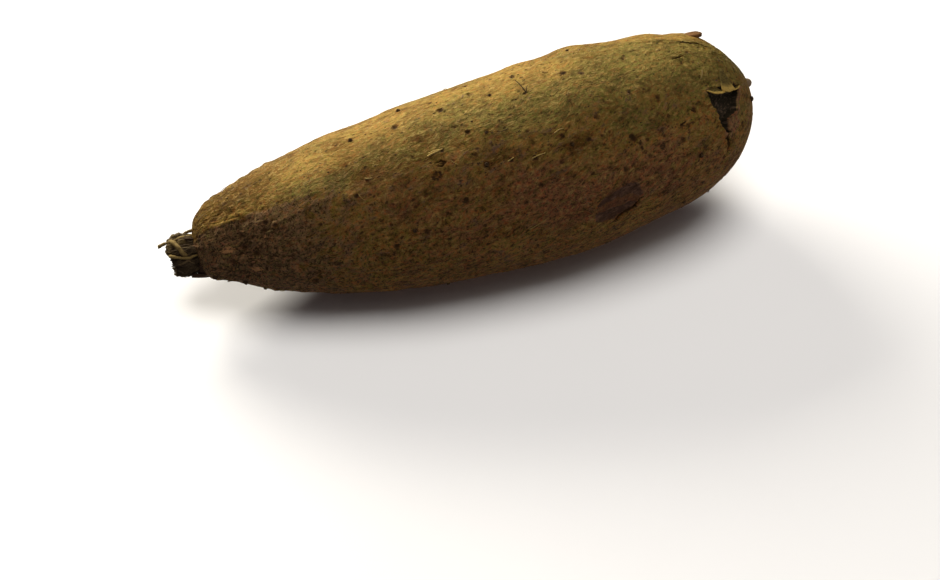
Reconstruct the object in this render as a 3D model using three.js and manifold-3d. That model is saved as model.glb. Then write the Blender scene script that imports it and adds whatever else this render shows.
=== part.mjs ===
// A purple yam (Dioscorea alata): one tuber lying on its side, with the dead base of its vine still on the
// crown. Millimetres, +Z up. The crown points to -X and the blunt tip to +X. A spot on the skin is given by
// its x and by an angle round the long axis, from the far side (+Y, 0 degrees) over the top (90) to the near
// side (180) and the underside (270).
import * as THREE from "three";
import { mergeVertices } from "three/addons/utils/BufferGeometryUtils.js";
import Module from "manifold-3d";

const wasm = await Module();
wasm.setup();

// Driving dimensions of the tuber. Each list is read evenly from the crown to the tip.
const HALF_LENGTH = 110;
const RADII = [0, 12.5, 17.5, 24, 29.5, 33.5, 36, 38, 36.5, 33, 26, 13.5, 0];
const AXIS_HEIGHTS = [27, 29.5, 31.5, 35, 38, 41, 42.5];
const AXIS_SWAYS = [0, -2.5, -5, -0.5, 0];
const RINGS = 66; // rows of faces from crown to tip
const SIDES = 50; // faces round the girth
const RING_EVENNESS = 0.4; // moves rows from the ends towards the middle

// Swellings (and, below zero, hollows) of the flesh: where, how high, and how far each reaches along and
// round.
const SWELLINGS = [
  { x: 44, angle: 46, height: 2, length: 12, width: 26 },
  { x: 62, angle: 44, height: -0.5, length: 8, width: 28 },
  { x: 72, angle: 50, height: 1.1, length: 8, width: 26 },
  { x: 88, angle: 56, height: 0.8, length: 6, width: 22 },
  { x: 32, angle: 40, height: -0.9, length: 6, width: 24 },
  { x: 50, angle: 52, height: -0.9, length: 6, width: 22 },
  { x: 79, angle: 52, height: -0.7, length: 5, width: 22 },
  { x: 101, angle: 76, height: -1.9, length: 6, width: 24 },
  { x: 70, angle: 219, height: -0.6, length: 10, width: 22 },
  { x: -10, angle: 50, height: -0.6, length: 8, width: 22 },
  { x: -41, angle: 50, height: -1.2, length: 10, width: 26 },
  { x: -70, angle: 46, height: -1.3, length: 12, width: 30 },
  { x: -106, angle: 40, height: -2.2, length: 5, width: 40 },
  { x: -100, angle: 231, height: -1.7, length: 7, width: 26 },
  { x: -38, angle: 310, height: -1.5, length: 20, width: 28 },
  { x: -8, angle: 268, height: 1.3, length: 26, width: 34 },
  { x: 20, angle: 340, height: 1.6, length: 20, width: 26 },
  { x: 78, angle: 215, height: 1, length: 12, width: 30 },
  { x: -66, angle: 10, height: 1.4, length: 14, width: 28 },
  { x: 70, angle: 330, height: -1.8, length: 14, width: 24 },
  { x: -2, angle: 8, height: -1.2, length: 10, width: 22 },
  { x: -99, angle: 110, height: -1.4, length: 11, width: 40 },
];

// The crown's skin is puckered into scaly knobs, which fade out along the tuber.
const CROWN_KNOB_HEIGHT = 0.6;
const CROWN_REACH = 34;

// Root scars: small pits where roots grew, and at every fourth the broken base of a root, standing proud. The
// upper near side has those in the list, each [x, degrees], and a rule spreads others over the other sides.
const SCARS = [
  [-28, 66], [-32, 84], [-17, 73], [-15, 84], [-48, 80], [-8, 56], [-2, 65], [-3, 78], [3, 86], [14, 76],
  [-13, 100], [-9, 106], [-3, 110], [-9, 121], [-21, 120], [-24, 126], [-6, 128], [11, 132], [-52, 126],
  [-16, 145], [-35, 156], [-31, 158], [-42, 164], [5, 155], [39, 63], [55, 87], [37, 92], [31, 88], [51, 112],
  [61, 120], [74, 133], [47, 138], [75, 163], [20, 138], [43, 153], [31, 131], [25, 131], [68, 140],
  [96, 156], [57, 179], [77, 186], [36, 121], [-70, 104], [-66, 140], [-62, 172], [-84, 128],
];
const SPREAD_SCARS = 50;
const SPREAD_SIDES = [192, 410]; // degrees round that the rule covers
const SCAR_RADIUS = [0.9, 1.5];
const SCAR_SIDES = 5;
const PIT_SHARE = 1.1; // depth of a pit as a share of its radius
const NUB_HEIGHT = 1.1;
const NUB_EVERY = 4;
const GOLDEN_RATIO = 0.618034;
const GOLDEN_ANGLE = 137.508;
const SCAR_SEED = 7;

// Two knobs beside the tip and three barbs under the crown.
const KNOBS = [
  { x: 106.5, degrees: 110, radius: 1.7 },
  { x: 104.5, degrees: 140, radius: 1.3 },
  { x: -104.5, degrees: 199, radius: 1.5 },
  { x: -94.5, degrees: 212, radius: 1.7 },
  { x: -88, degrees: 224, radius: 1.1 },
];

// Pieces of skin that are cut out or laid on are outlined by corners, each [x, degrees] and, where the piece
// is lifted, the heights of its inner and outer faces above the skin there.
const CLEAR = 3; // how far such a piece runs past the skin where another surface is to end it

// The torn eye beside the tip: a hole in the skin under a lip that has curled outwards, and a crack below.
const EYE_DEPTH = 3.2;
const EYE_HOLE = [
  [81.4, 124],
  [82, 132],
  [84.4, 141],
  [85, 149],
  [87.7, 160],
  [88, 150],
  [90, 144],
  [93.7, 143.5],
  [95.3, 133],
  [97.8, 124],
  [91, 121],
];
const EYE_LIP = [
  [80.8, 122, -1, 0.3],
  [83.5, 127.4, 0.4, 1.5],
  [87, 128.6, 0.6, 1.7],
  [90.6, 128.4, 0.6, 1.7],
  [94.4, 127.2, 0.3, 1.4],
  [98.4, 123.8, -1, 0.3],
  [94, 122, -1, 0.2],
  [91.8, 112, -1, 0],
  [87, 121, -1, 0.2],
];
const EYE_CRACK = [
  [87.6, 157],
  [87.4, 163],
  [88.6, 168],
  [87.2, 174],
];

// A scuffed patch low on the near side, sunk below the skin, with a crack along its lower edge.
const SCUFF_DEPTH = 1;
const SCUFF = [
  [30.2, 176],
  [32, 169],
  [36, 162.4],
  [42, 161.4],
  [47.8, 165],
  [49.6, 171],
  [46.2, 179.4],
  [39.6, 184],
  [34, 184],
];
const SCUFF_CRACK = [
  [49.4, 173],
  [48.2, 178],
  [44.4, 181],
  [39, 185],
  [34, 187],
];

// Scales of old bark round the crown, each lifted at the end that faces the vine.
const SCALE_COUNT = 15;
const SCALE_LENGTH = 6;
const SCALE_WIDTH = 16; // degrees round the crown
const SCALE_LIFT = 0.8;

// Old bark that ends in a raised edge, and a sliver of it that has lifted over the far side of the tip.
const BARK_HEIGHT = 0.6;
const BARK_PLATES = [
  [[59, 70], [73, 79], [84, 83], [89, 89], [90, 95], [93, 93], [91.5, 86], [87, 79], [76, 74], [66, 67]],
  [[-98, 170], [-91, 174], [-83, 170], [-84, 161], [-93, 158]],
  [[-52, 18], [-40, 24], [-26, 20], [-30, 12], [-45, 9]],
  [[12, 320], [22, 328], [38, 324], [34, 314], [20, 312]],
];
const BARK_SLIVER = [
  [83, 55, -1, 0.2],
  [86, 60, -1, 1.4],
  [93.4, 64, 0.9, 2.3],
  [95, 60, 0.9, 2.1],
  [90.5, 54, -1, 1.4],
];

// Cracks in the skin. Each is a line of [x, degrees], open in the middle and closed at both ends.
const CRACK_WIDTH = 1.1;
const CRACK_DEPTH = 1.3;
const CRACKS = [
  EYE_CRACK,
  SCUFF_CRACK,
  [[73, 97], [76, 96], [78.6, 97.6]],
  [[-4, 214], [2, 219], [9, 217], [15, 222]],
  [[-58, 30], [-52, 36], [-47, 35]],
  [[55, 8], [61, 2], [68, 4], [73, -2]],
];

// The dead vine's base: a ribbed, broken plug of fibres on the crown. Its foot lies inside the crown's
// rounding, and is cut back to a hair's breadth from the skin.
const STUB_FOOT = new THREE.Vector3(-104, -1, 26);
const STUB_LENGTH = 14;
const STUB_RADIUS = 6.9;
const STUB_WIDTHS = [1, 0.97, 0.94, 1.04, 1, 0.86]; // shares of the radius, evenly from foot to broken end
const STUB_DROOP = 0.6;
const STUB_RIBS = 9;
const STUB_RIB_HEIGHT = 0.55;
const STUB_RINGS = 16;
const STUB_SIDES = 36;
const FIT_GAP = 0.3;

// Dried roots on the vine's base. Each is a run of points: distance out from the foot, angle round, and
// distance from the stub's middle.
const ROOT_RADIUS = 0.7;
const ROOT_SIDES = 6;
const ROOTS = [
  [[6, 46, 4.6], [10, 44, 6.4], [13, 46, 7], [15.8, 54, 6.6], [17.8, 60, 5.8]],
  [[13, 62, 5], [11.8, 84, 6.9], [10.2, 108, 7.2], [8.8, 130, 7], [7.6, 146, 5.4]],
  [[14, 118, 4.8], [12.4, 124, 6.9], [9.6, 130, 7.1], [6.4, 138, 7.1], [4, 146, 5.8]],
  [[11, 52, 4.8], [9, 52, 7.8], [7, 50, 8.8], [4.8, 48, 8], [3, 46, 5.2]],
  [[7, 10, 4.8], [9.6, 6, 8], [12, 0, 9.4], [14, 352, 9]],
  [[8, 318, 4.8], [9.5, 318, 8], [11.6, 310, 9.4], [13, 300, 10.2]],
  [[9, 262, 4.8], [10.6, 258, 7.4], [12.6, 254, 8], [14.8, 262, 7.6]],
  [[7, 220, 4.6], [8, 224, 7.2], [7, 232, 8.4], [5.4, 240, 9]],
];

const rad = THREE.MathUtils.degToRad;

function seeded(seed) {
  let state = seed >>> 0;
  return () => {
    state = (state + 0x6d2b79f5) >>> 0;
    let mixed = Math.imul(state ^ (state >>> 15), 1 | state);
    mixed = (mixed + Math.imul(mixed ^ (mixed >>> 7), 61 | mixed)) ^ mixed;
    return ((mixed ^ (mixed >>> 14)) >>> 0) / 4294967296;
  };
}

// A Catmull-Rom curve through evenly spaced values. Where the ends are poles, the values beyond them are
// turned over, so that the skin meets the axis squarely.
function along(values, t, poles = false) {
  const last = values.length - 1;
  const place = THREE.MathUtils.clamp(t, 0, 1) * last;
  const i = Math.min(Math.floor(place), last - 1);
  const f = place - i;
  const before = poles ? -values[1] : 2 * values[0] - values[1];
  const after = poles ? -values[last - 1] : 2 * values[last] - values[last - 1];
  const [a, b, c, d] = [values[i - 1] ?? before, values[i], values[i + 1], values[i + 2] ?? after];
  const slope = (c - a) * f;
  return 0.5 * (2 * b + slope + (2 * a - 5 * b + 4 * c - d) * f * f + (3 * b - a - 3 * c + d) * f ** 3);
}

function bump(distance, reach) {
  return Math.exp(-((distance / reach) ** 2));
}

function turnBetween(a, b) {
  return THREE.MathUtils.euclideanModulo(a - b + 180, 360) - 180;
}

// How far the flesh stands out from its smooth radius: long slow waves, the swellings and the crown's knobs.
function relief(x, degrees) {
  const angle = rad(degrees);
  const waves =
    0.45 * Math.sin(0.052 * x + 0.9) * Math.cos(angle - 0.7) +
    0.35 * Math.cos(2 * angle + 0.03 * x + 0.4) +
    0.35 * Math.cos(3 * angle - 0.05 * x + 1.9) +
    0.28 * Math.sin(5 * angle + 0.085 * x) * Math.sin(0.11 * x + 0.6) +
    0.16 * Math.sin(11 * angle + 0.12 * x) * Math.sin(0.3 * x - 2 * angle);
  const swell = SWELLINGS.reduce(
    (sum, s) => sum + s.height * bump(x - s.x, s.length) * bump(turnBetween(degrees, s.angle), s.width),
    0,
  );
  const knobs = Math.sin(0.92 * x + 2.2 * Math.sin(3 * angle)) * Math.sin(8 * angle + 0.35 * x);
  return waves + swell + CROWN_KNOB_HEIGHT * knobs * bump(x + HALF_LENGTH, CROWN_REACH);
}

// A point on the tuber's skin, or as far outside it as is asked. The underside is flat where it rests.
function skinPoint(t, degrees, outside = 0) {
  const x = -(HALF_LENGTH + outside) * Math.cos(Math.PI * t);
  const fade = Math.sqrt(Math.sin(Math.PI * t));
  const radius = Math.max(0, along(RADII, t, true) + fade * (relief(x, degrees) + outside));
  const y = along(AXIS_SWAYS, t) + radius * Math.cos(rad(degrees));
  const z = along(AXIS_HEIGHTS, t) + radius * Math.sin(rad(degrees));
  return new THREE.Vector3(x, y, Math.max(z, -outside));
}

function spot(x, degrees, outside = 0) {
  return skinPoint(Math.acos(-x / HALF_LENGTH) / Math.PI, degrees, outside);
}

// The frame of a spot on the skin: its z axis points straight out and its x axis towards the tip.
function skinFrame(x, degrees) {
  const t = Math.acos(-x / HALF_LENGTH) / Math.PI;
  const lengthways = skinPoint(t + 0.004, degrees).sub(skinPoint(t - 0.004, degrees)).normalize();
  const round = skinPoint(t, degrees - 1).sub(skinPoint(t, degrees + 1)).normalize();
  const outward = new THREE.Vector3().crossVectors(lengthways, round).normalize();
  const across = new THREE.Vector3().crossVectors(outward, lengthways);
  return new THREE.Matrix4().makeBasis(lengthways, across, outward).setPosition(spot(x, degrees));
}

function solidOf(geometry, matrix = new THREE.Matrix4()) {
  const plain = new THREE.BufferGeometry();
  plain.setAttribute("position", geometry.getAttribute("position").clone());
  if (geometry.index) plain.setIndex(geometry.index.clone());
  const merged = mergeVertices(plain.applyMatrix4(matrix), 1e-4);
  return new wasm.Manifold(
    new wasm.Mesh({
      numProp: 3,
      vertProperties: merged.attributes.position.array,
      triVerts: new Uint32Array(merged.index.array),
    }),
  );
}

function geometryOf(solid) {
  const mesh = solid.getMesh();
  const geometry = new THREE.BufferGeometry();
  geometry.setAttribute("position", new THREE.BufferAttribute(mesh.vertProperties, mesh.numProp));
  geometry.setIndex(new THREE.BufferAttribute(mesh.triVerts, 1));
  geometry.computeVertexNormals();
  return geometry;
}

// A closed skin of rings between two poles, from a rule that gives each ring's points.
function ringedGeometry(rings, sides, pointAt) {
  const points = [pointAt(0, 0)];
  for (let i = 1; i < rings; i++) {
    for (let j = 0; j < sides; j++) points.push(pointAt(i / rings, (360 * j) / sides));
  }
  points.push(pointAt(1, 0));
  const at = (ring, side) => 1 + (ring - 1) * sides + (side % sides);
  const faces = [];
  for (let j = 0; j < sides; j++) {
    faces.push(0, at(1, j + 1), at(1, j));
    faces.push(points.length - 1, at(rings - 1, j), at(rings - 1, j + 1));
    for (let i = 1; i < rings - 1; i++) {
      faces.push(at(i, j), at(i, j + 1), at(i + 1, j + 1));
      faces.push(at(i, j), at(i + 1, j + 1), at(i + 1, j));
    }
  }
  return new THREE.BufferGeometry().setFromPoints(points).setIndex(faces);
}

function tuberSolid(outside = 0) {
  const evened = (s) => s + (RING_EVENNESS * Math.sin(2 * Math.PI * s)) / (2 * Math.PI);
  return solidOf(ringedGeometry(RINGS, SIDES, (s, degrees) => skinPoint(evened(s), degrees, outside)));
}

// A closed block between two outlines that follow the skin, at the corners' own heights or at those given.
function skinBlock(corners, inner, outer) {
  const flat = corners.map(([x, degrees]) => new THREE.Vector2(x, -0.5 * degrees));
  const backwards = THREE.ShapeUtils.isClockWise(flat);
  const round = backwards ? [...corners].reverse() : corners;
  const caps = THREE.ShapeUtils.triangulateShape(backwards ? [...flat].reverse() : flat, []);
  const low = round.map(([x, degrees, height = inner]) => spot(x, degrees, height));
  const high = round.map(([x, degrees, , height = outer]) => spot(x, degrees, height));
  const count = round.length;
  const faces = caps.flatMap(([a, b, c]) => [a, c, b, a + count, b + count, c + count]);
  for (let i = 0; i < count; i++) {
    const next = (i + 1) % count;
    faces.push(i, next, next + count, i, next + count, i + count);
  }
  return solidOf(new THREE.BufferGeometry().setFromPoints([...low, ...high]).setIndex(faces));
}

// A wedge that opens a crack along a line on the skin.
function crackSolid(line) {
  const curve = new THREE.CatmullRomCurve3(line.map(([x, degrees]) => new THREE.Vector3(x, degrees, 0)));
  const steps = 2 * (line.length - 1);
  const sections = [];
  for (let i = 0; i <= steps; i++) {
    const { x, y: degrees } = curve.getPoint(i / steps);
    const open = Math.sin((Math.PI * (i + 0.5)) / (steps + 1));
    const ahead = curve.getTangent(i / steps);
    const left = new THREE.Vector2(0.5 * ahead.y, ahead.x).setLength(open * CRACK_WIDTH);
    const here = skinFrame(x, degrees);
    sections.push(new THREE.Vector3(left.x, left.y, CRACK_DEPTH).applyMatrix4(here));
    sections.push(new THREE.Vector3(-left.x, -left.y, CRACK_DEPTH).applyMatrix4(here));
    sections.push(new THREE.Vector3(0, 0, -open * CRACK_DEPTH).applyMatrix4(here));
  }
  const faces = [0, 2, 1];
  for (let i = 0; i < 3 * steps; i++) {
    const next = 3 * Math.floor(i / 3) + ((i + 1) % 3);
    faces.push(i, next, next + 3, i, next + 3, i + 3);
  }
  faces.push(3 * steps, 3 * steps + 1, 3 * steps + 2);
  return solidOf(new THREE.BufferGeometry().setFromPoints(sections).setIndex(faces));
}

// The golden ratio spreads the scars that aren't listed, so that none lie in rows. The underside that rests
// on a surface has none.
function rootScars() {
  const random = seeded(SCAR_SEED);
  const spread = Array.from({ length: SPREAD_SCARS }, (_, i) => [
    -96 + (196 * (i + random())) / SPREAD_SCARS,
    THREE.MathUtils.lerp(...SPREAD_SIDES, (i * GOLDEN_RATIO + 0.1 * random()) % 1),
  ]);
  return [...SCARS, ...spread]
    .map(([x, degrees], i) => ({
      x,
      degrees,
      radius: THREE.MathUtils.lerp(...SCAR_RADIUS, random()),
      proud: i % NUB_EVERY === 0,
    }))
    .filter(({ x, degrees }) => spot(x, degrees).z > 4);
}

function pitSolid({ x, degrees, radius }) {
  const cone = new THREE.ConeGeometry(2 * radius, 2 * PIT_SHARE * radius, SCAR_SIDES);
  return solidOf(cone.rotateX(-Math.PI / 2), skinFrame(x, degrees));
}

function nubSolid({ x, degrees, radius }) {
  const stump = new THREE.CylinderGeometry(0.6 * radius, 1.15 * radius, 2 * NUB_HEIGHT, SCAR_SIDES);
  return solidOf(stump.rotateX(Math.PI / 2), skinFrame(x, degrees));
}

// Crown scales follow the golden angle, in a spiral away from the vine.
function crownScale(_, i) {
  const x = -101 + (26 * i) / SCALE_COUNT;
  const degrees = (i * GOLDEN_ANGLE + 60) % 360;
  const uneven = 0.75 + 0.5 * ((0.618 * i) % 1);
  const length = SCALE_LENGTH * uneven;
  const half = ((SCALE_WIDTH / 2) * (1 - (0.4 * i) / SCALE_COUNT)) / uneven;
  return skinBlock([
    [x, degrees - 0.7 * half, -1, SCALE_LIFT],
    [x - 0.8 * uneven, degrees + 0.5 * half, -1, SCALE_LIFT],
    [x + 0.6 * length, degrees + half, -1, 0.3],
    [x + length, degrees - 0.2 * half, -1, 0],
    [x + 0.5 * length, degrees - half, -1, 0.3],
  ]);
}

// Scales and bark are laid on before the scars are cut, so that none of them closes over a pit.
function makeTuber() {
  const scars = rootScars();
  const bark = tuberSolid(BARK_HEIGHT);
  const grown = [
    ...[...scars.filter((scar) => scar.proud), ...KNOBS].map(nubSolid),
    ...BARK_PLATES.map((plate) => skinBlock(plate, -CLEAR, CLEAR).intersect(bark)),
    ...Array.from({ length: SCALE_COUNT }, crownScale),
  ];
  const lost = [
    ...scars.filter((scar) => !scar.proud).map(pitSolid),
    skinBlock(EYE_HOLE, -2 * CLEAR, CLEAR).subtract(tuberSolid(-EYE_DEPTH)),
    skinBlock(SCUFF, -CLEAR, CLEAR).subtract(tuberSolid(-SCUFF_DEPTH)),
    ...CRACKS.map(crackSolid),
  ];
  const flesh = grown.reduce((solid, piece) => solid.add(piece), tuberSolid());
  const carved = lost.reduce((solid, hole) => solid.subtract(hole), flesh);
  return carved.add(skinBlock(EYE_LIP)).add(skinBlock(BARK_SLIVER));
}

function roundStub(out, degrees, radius) {
  const middle = new THREE.Vector3(-out, 0, (-STUB_DROOP * out) / STUB_LENGTH);
  const across = new THREE.Vector3(0, Math.cos(rad(degrees)), Math.sin(rad(degrees)));
  return middle.addScaledVector(across, radius);
}

// The plug of dead fibres, ribbed along its length, with an uneven broken end.
function stubCore() {
  return ringedGeometry(STUB_RINGS, STUB_SIDES, (s, around) => {
    const degrees = 360 - around;
    const reach = THREE.MathUtils.clamp((s - 0.14) / 0.72, 0, 1);
    const cap = Math.min(1, s / 0.14, (1 - s) / 0.14);
    const lean = 1.6 * Math.sin(2 * rad(degrees)) + 2 * reach;
    const rib = STUB_RIB_HEIGHT * Math.cos(STUB_RIBS * rad(degrees) + lean);
    const radius = cap * (STUB_RADIUS * along(STUB_WIDTHS, reach) + rib);
    const broken = reach === 1 ? 1.1 * (1 - 0.4 * cap) * Math.sin(3 * rad(degrees) + 0.6) : 0;
    return roundStub(STUB_LENGTH * reach + broken, degrees, radius);
  });
}

function rootSolid(points) {
  const curve = new THREE.CatmullRomCurve3(points.map((point) => roundStub(...point)));
  const section = new THREE.Shape();
  for (let i = 0; i < ROOT_SIDES; i++) {
    const angle = (2 * Math.PI * i) / ROOT_SIDES;
    section[i ? "lineTo" : "moveTo"](ROOT_RADIUS * Math.cos(angle), ROOT_RADIUS * Math.sin(angle));
  }
  section.closePath();
  return solidOf(new THREE.ExtrudeGeometry(section, { steps: 8, extrudePath: curve }));
}

function makeVineStub() {
  const fused = ROOTS.map(rootSolid).reduce((solid, root) => solid.add(root), solidOf(stubCore()));
  const crown = tuberSolid(FIT_GAP).translate(STUB_FOOT.clone().negate().toArray());
  return fused.subtract(crown);
}

function node(name, solid, material) {
  const mesh = new THREE.Mesh(geometryOf(solid), new THREE.MeshStandardMaterial(material));
  mesh.name = name;
  return mesh;
}

const yam = new THREE.Group();
yam.name = "purple_yam";
yam.add(node("tuber", makeTuber(), { color: 0x8f6b3a, roughness: 0.85, metalness: 0 }));

const stub = node("vine_stub", makeVineStub(), { color: 0x4a3a26, roughness: 0.95, metalness: 0 });
stub.position.copy(STUB_FOOT);
yam.add(stub);

// The origin is on the surface it rests on, under the middle of its box.
const box = new THREE.Box3().setFromObject(yam);
const middle = box.getCenter(new THREE.Vector3());
yam.position.set(-middle.x, -middle.y, -box.min.z);

export default yam;
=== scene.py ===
import math
import random

import bmesh
import bpy
import numpy as np
from bpy.props import FloatProperty, FloatVectorProperty, IntProperty, PointerProperty
from bpy.types import Operator, Panel, PropertyGroup
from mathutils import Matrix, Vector


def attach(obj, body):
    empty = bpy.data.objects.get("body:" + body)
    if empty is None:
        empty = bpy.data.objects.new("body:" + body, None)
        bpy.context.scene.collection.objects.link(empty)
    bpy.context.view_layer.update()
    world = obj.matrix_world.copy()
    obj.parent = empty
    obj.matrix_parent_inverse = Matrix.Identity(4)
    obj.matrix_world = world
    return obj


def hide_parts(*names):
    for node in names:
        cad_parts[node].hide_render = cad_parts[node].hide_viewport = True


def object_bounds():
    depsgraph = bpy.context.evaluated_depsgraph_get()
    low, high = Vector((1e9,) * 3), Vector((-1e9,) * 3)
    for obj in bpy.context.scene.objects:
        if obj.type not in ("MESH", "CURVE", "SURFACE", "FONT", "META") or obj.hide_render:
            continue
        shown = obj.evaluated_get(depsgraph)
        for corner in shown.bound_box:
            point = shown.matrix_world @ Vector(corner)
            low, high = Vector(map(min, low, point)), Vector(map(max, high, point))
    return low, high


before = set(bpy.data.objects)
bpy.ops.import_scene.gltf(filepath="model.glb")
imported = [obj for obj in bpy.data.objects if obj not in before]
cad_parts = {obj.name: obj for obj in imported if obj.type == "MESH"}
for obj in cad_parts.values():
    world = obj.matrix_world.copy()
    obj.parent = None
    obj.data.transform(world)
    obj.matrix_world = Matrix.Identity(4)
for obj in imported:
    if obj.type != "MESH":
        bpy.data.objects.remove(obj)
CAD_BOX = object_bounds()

bl_info = {
    "name": "Purple yam",
    "version": (1, 0, 0),
    "blender": (4, 5, 0),
    "location": "3D View > Sidebar > Yam",
    "description": "A purple yam's skin, torn eye, root scars and dead vine base, with its stage",
    "category": "Add Mesh",
}

# The tuber's own measures, in millimetres. A spot on the skin is given by its x and by an angle round the
# long axis: 0 is the far side, 90 the top, 180 the near side and 270 the underside.
MM = 0.001
TUBER_SHIFT = np.array([6.058, 3.003, 0.0])  # from the tuber's own axes to the part's origin
HALF_LENGTH = 110.0
RADII = [0, 12.5, 17.5, 24, 29.5, 33.5, 36, 38, 36.5, 33, 26, 13.5, 0]
AXIS_HEIGHTS = [27, 29.5, 31.5, 35, 38, 41, 42.5]
AXIS_SWAYS = [0, -2.5, -5, -0.5, 0]
SWELLINGS = [  # x, angle, height, reach along, reach round
    (44, 46, 2, 12, 26),
    (62, 44, -0.5, 8, 28),
    (72, 50, 1.1, 8, 26),
    (88, 56, 0.8, 6, 22),
    (32, 40, -0.9, 6, 24),
    (50, 52, -0.9, 6, 22),
    (79, 52, -0.7, 5, 22),
    (101, 76, -1.9, 6, 24),
    (70, 219, -0.6, 10, 22),
    (-10, 50, -0.6, 8, 22),
    (-41, 50, -1.2, 10, 26),
    (-70, 46, -1.3, 12, 30),
    (-106, 40, -2.2, 5, 40),
    (-100, 231, -1.7, 7, 26),
    (-38, 310, -1.5, 20, 28),
    (-8, 268, 1.3, 26, 34),
    (20, 340, 1.6, 20, 26),
    (78, 215, 1, 12, 30),
    (-66, 10, 1.4, 14, 28),
    (70, 330, -1.8, 14, 24),
    (-2, 8, -1.2, 10, 22),
    (-99, 110, -1.4, 11, 40),
]
CROWN_KNOB_HEIGHT = 0.6
CROWN_REACH = 34

SCARS = [  # x, angle
    (-28, 66), (-32, 84), (-17, 73), (-15, 84), (-48, 80), (-8, 56), (-2, 65), (-3, 78), (3, 86),
    (14, 76), (-13, 100), (-9, 106), (-3, 110), (-9, 121), (-21, 120), (-24, 126), (-6, 128), (11, 132),
    (-52, 126), (-16, 145), (-35, 156), (-31, 158), (-42, 164), (5, 155), (39, 63), (55, 87), (37, 92),
    (31, 88), (51, 112), (61, 120), (74, 133), (47, 138), (75, 163), (20, 138), (43, 153), (31, 131),
    (25, 131), (68, 140), (96, 156), (57, 179), (77, 186), (36, 121), (-71, 190), (-66, 140),
    (-62, 172), (-84, 128),
]
SPOTS = [  # smaller stains and pits: x, angle, radius, darkness
    (47.1, 137.9, 1.9, 1.0), (50.0, 141.5, 0.8, 0.9), (50.4, 144.4, 0.9, 1.0), (51.6, 147.4, 0.7, 0.8),
    (54.9, 151.7, 0.6, 0.8), (42.7, 152.5, 1.0, 0.9), (59.6, 138.1, 0.7, 0.7), (60.2, 142.2, 0.8, 0.8),
    (58.9, 147.6, 1.2, 0.9), (67.5, 139.5, 0.7, 0.9), (70.4, 140.4, 0.6, 0.8), (72.5, 140.2, 0.6, 0.8),
    (70.2, 145.1, 0.6, 0.8), (67.4, 148.2, 1.2, 0.8), (66.9, 153.5, 0.6, 0.8), (74.7, 162.4, 1.4, 0.9),
    (82.4, 171.7, 0.8, 0.7), (80.7, 173.9, 0.6, 0.7), (80.4, 156.2, 0.6, 0.8), (62.5, 169.4, 0.7, 0.8),
    (77.4, 186.5, 0.9, 0.9), (45.7, 126.0, 0.5, 0.7), (36.3, 131.4, 0.8, 0.7), (2.6, 129.2, 1.0, 1.0),
    (22.1, 125.1, 1.1, 0.9), (10.7, 116.5, 0.8, 0.7), (24.5, 130.7, 1.1, 0.7), (-2.4, 118.1, 0.5, 0.8),
    (-7.9, 117.7, 0.6, 0.8), (-16.4, 133.2, 0.5, 0.8), (11.2, 147.2, 1.1, 0.9), (9.1, 126.5, 0.6, 0.8),
    (-8.9, 126.4, 0.5, 0.9), (-11.2, 125.3, 0.5, 0.9), (-13.4, 101.0, 0.6, 0.6),
    (69.0, 140.7, 0.4, 0.9), (70.0, 140.2, 0.4, 0.9), (72.0, 139.9, 0.4, 0.9), (73.1, 139.4, 0.4, 0.9),
    (75.2, 139.7, 0.45, 0.9), (76.2, 139.2, 0.4, 0.9), (65.0, 139.6, 0.4, 0.9), (66.0, 139.0, 0.4, 0.9),
    (82.0, 168.0, 0.4, 0.9), (83.0, 167.0, 0.4, 0.9), (79.6, 171.0, 0.4, 0.9), (80.6, 170.0, 0.4, 0.9),
    (-19.6, 112.2, 1.0, 0.95), (14.6, 94.0, 0.9, 0.9), (-93.2, 135.3, 1.5, 0.6), (-93.0, 148.5, 1.6, 0.6),
    (-84.9, 135.6, 1.2, 0.6), (-89.2, 156.7, 1.3, 0.6), (-97.5, 166.0, 1.4, 0.6), (-78.0, 150.0, 1.2, 0.5),
    (-80.9, 132.7, 0.9, 0.9), (-89.3, 139.0, 0.8, 0.9), (30.0, 20.0, 1.2, 0.9), (-20.0, 8.0, 0.9, 0.8),
    (55.0, 340.0, 1.0, 0.9), (8.0, 35.0, 0.7, 0.8), (-52.0, 345.0, 1.1, 0.8), (75.0, 28.0, 0.8, 0.9),
]
RINGS = [  # x, angle, radius, width, darkness
    (-23.7, 126.7, 1.35, 0.6, 1.0), (-21.2, 120.4, 1.0, 0.4, 0.5),
    (58.9, 147.4, 0.9, 0.5, 0.9), (42.6, 26.0, 1.3, 0.5, 0.9),
]
SPREAD_SCARS = 50
SPREAD_SIDES = (192, 410)
SCAR_RADIUS = (0.9, 1.5)
NUB_EVERY = 4
GOLDEN_RATIO = 0.618034
GOLDEN_ANGLE = 137.508
SCAR_SEED = 7
BUDS = [  # x, angle, reach, height
    (107.2, 110, 1.75, 1.5),
    (94.9, 121, 1.1, 0.5),
]
KNOBS = [  # x, angle, radius, tone from 0, dark, to 1, pale
    (104.6, 140, 1.0, 0.0),
    (-104.8, 199, 0.9, 0.1),
    (-94.5, 212, 0.9, 0.2),
    (-88, 224, 0.7, 0.2),
    (94.5, 121.5, 0.7, 0.15),
]

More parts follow.
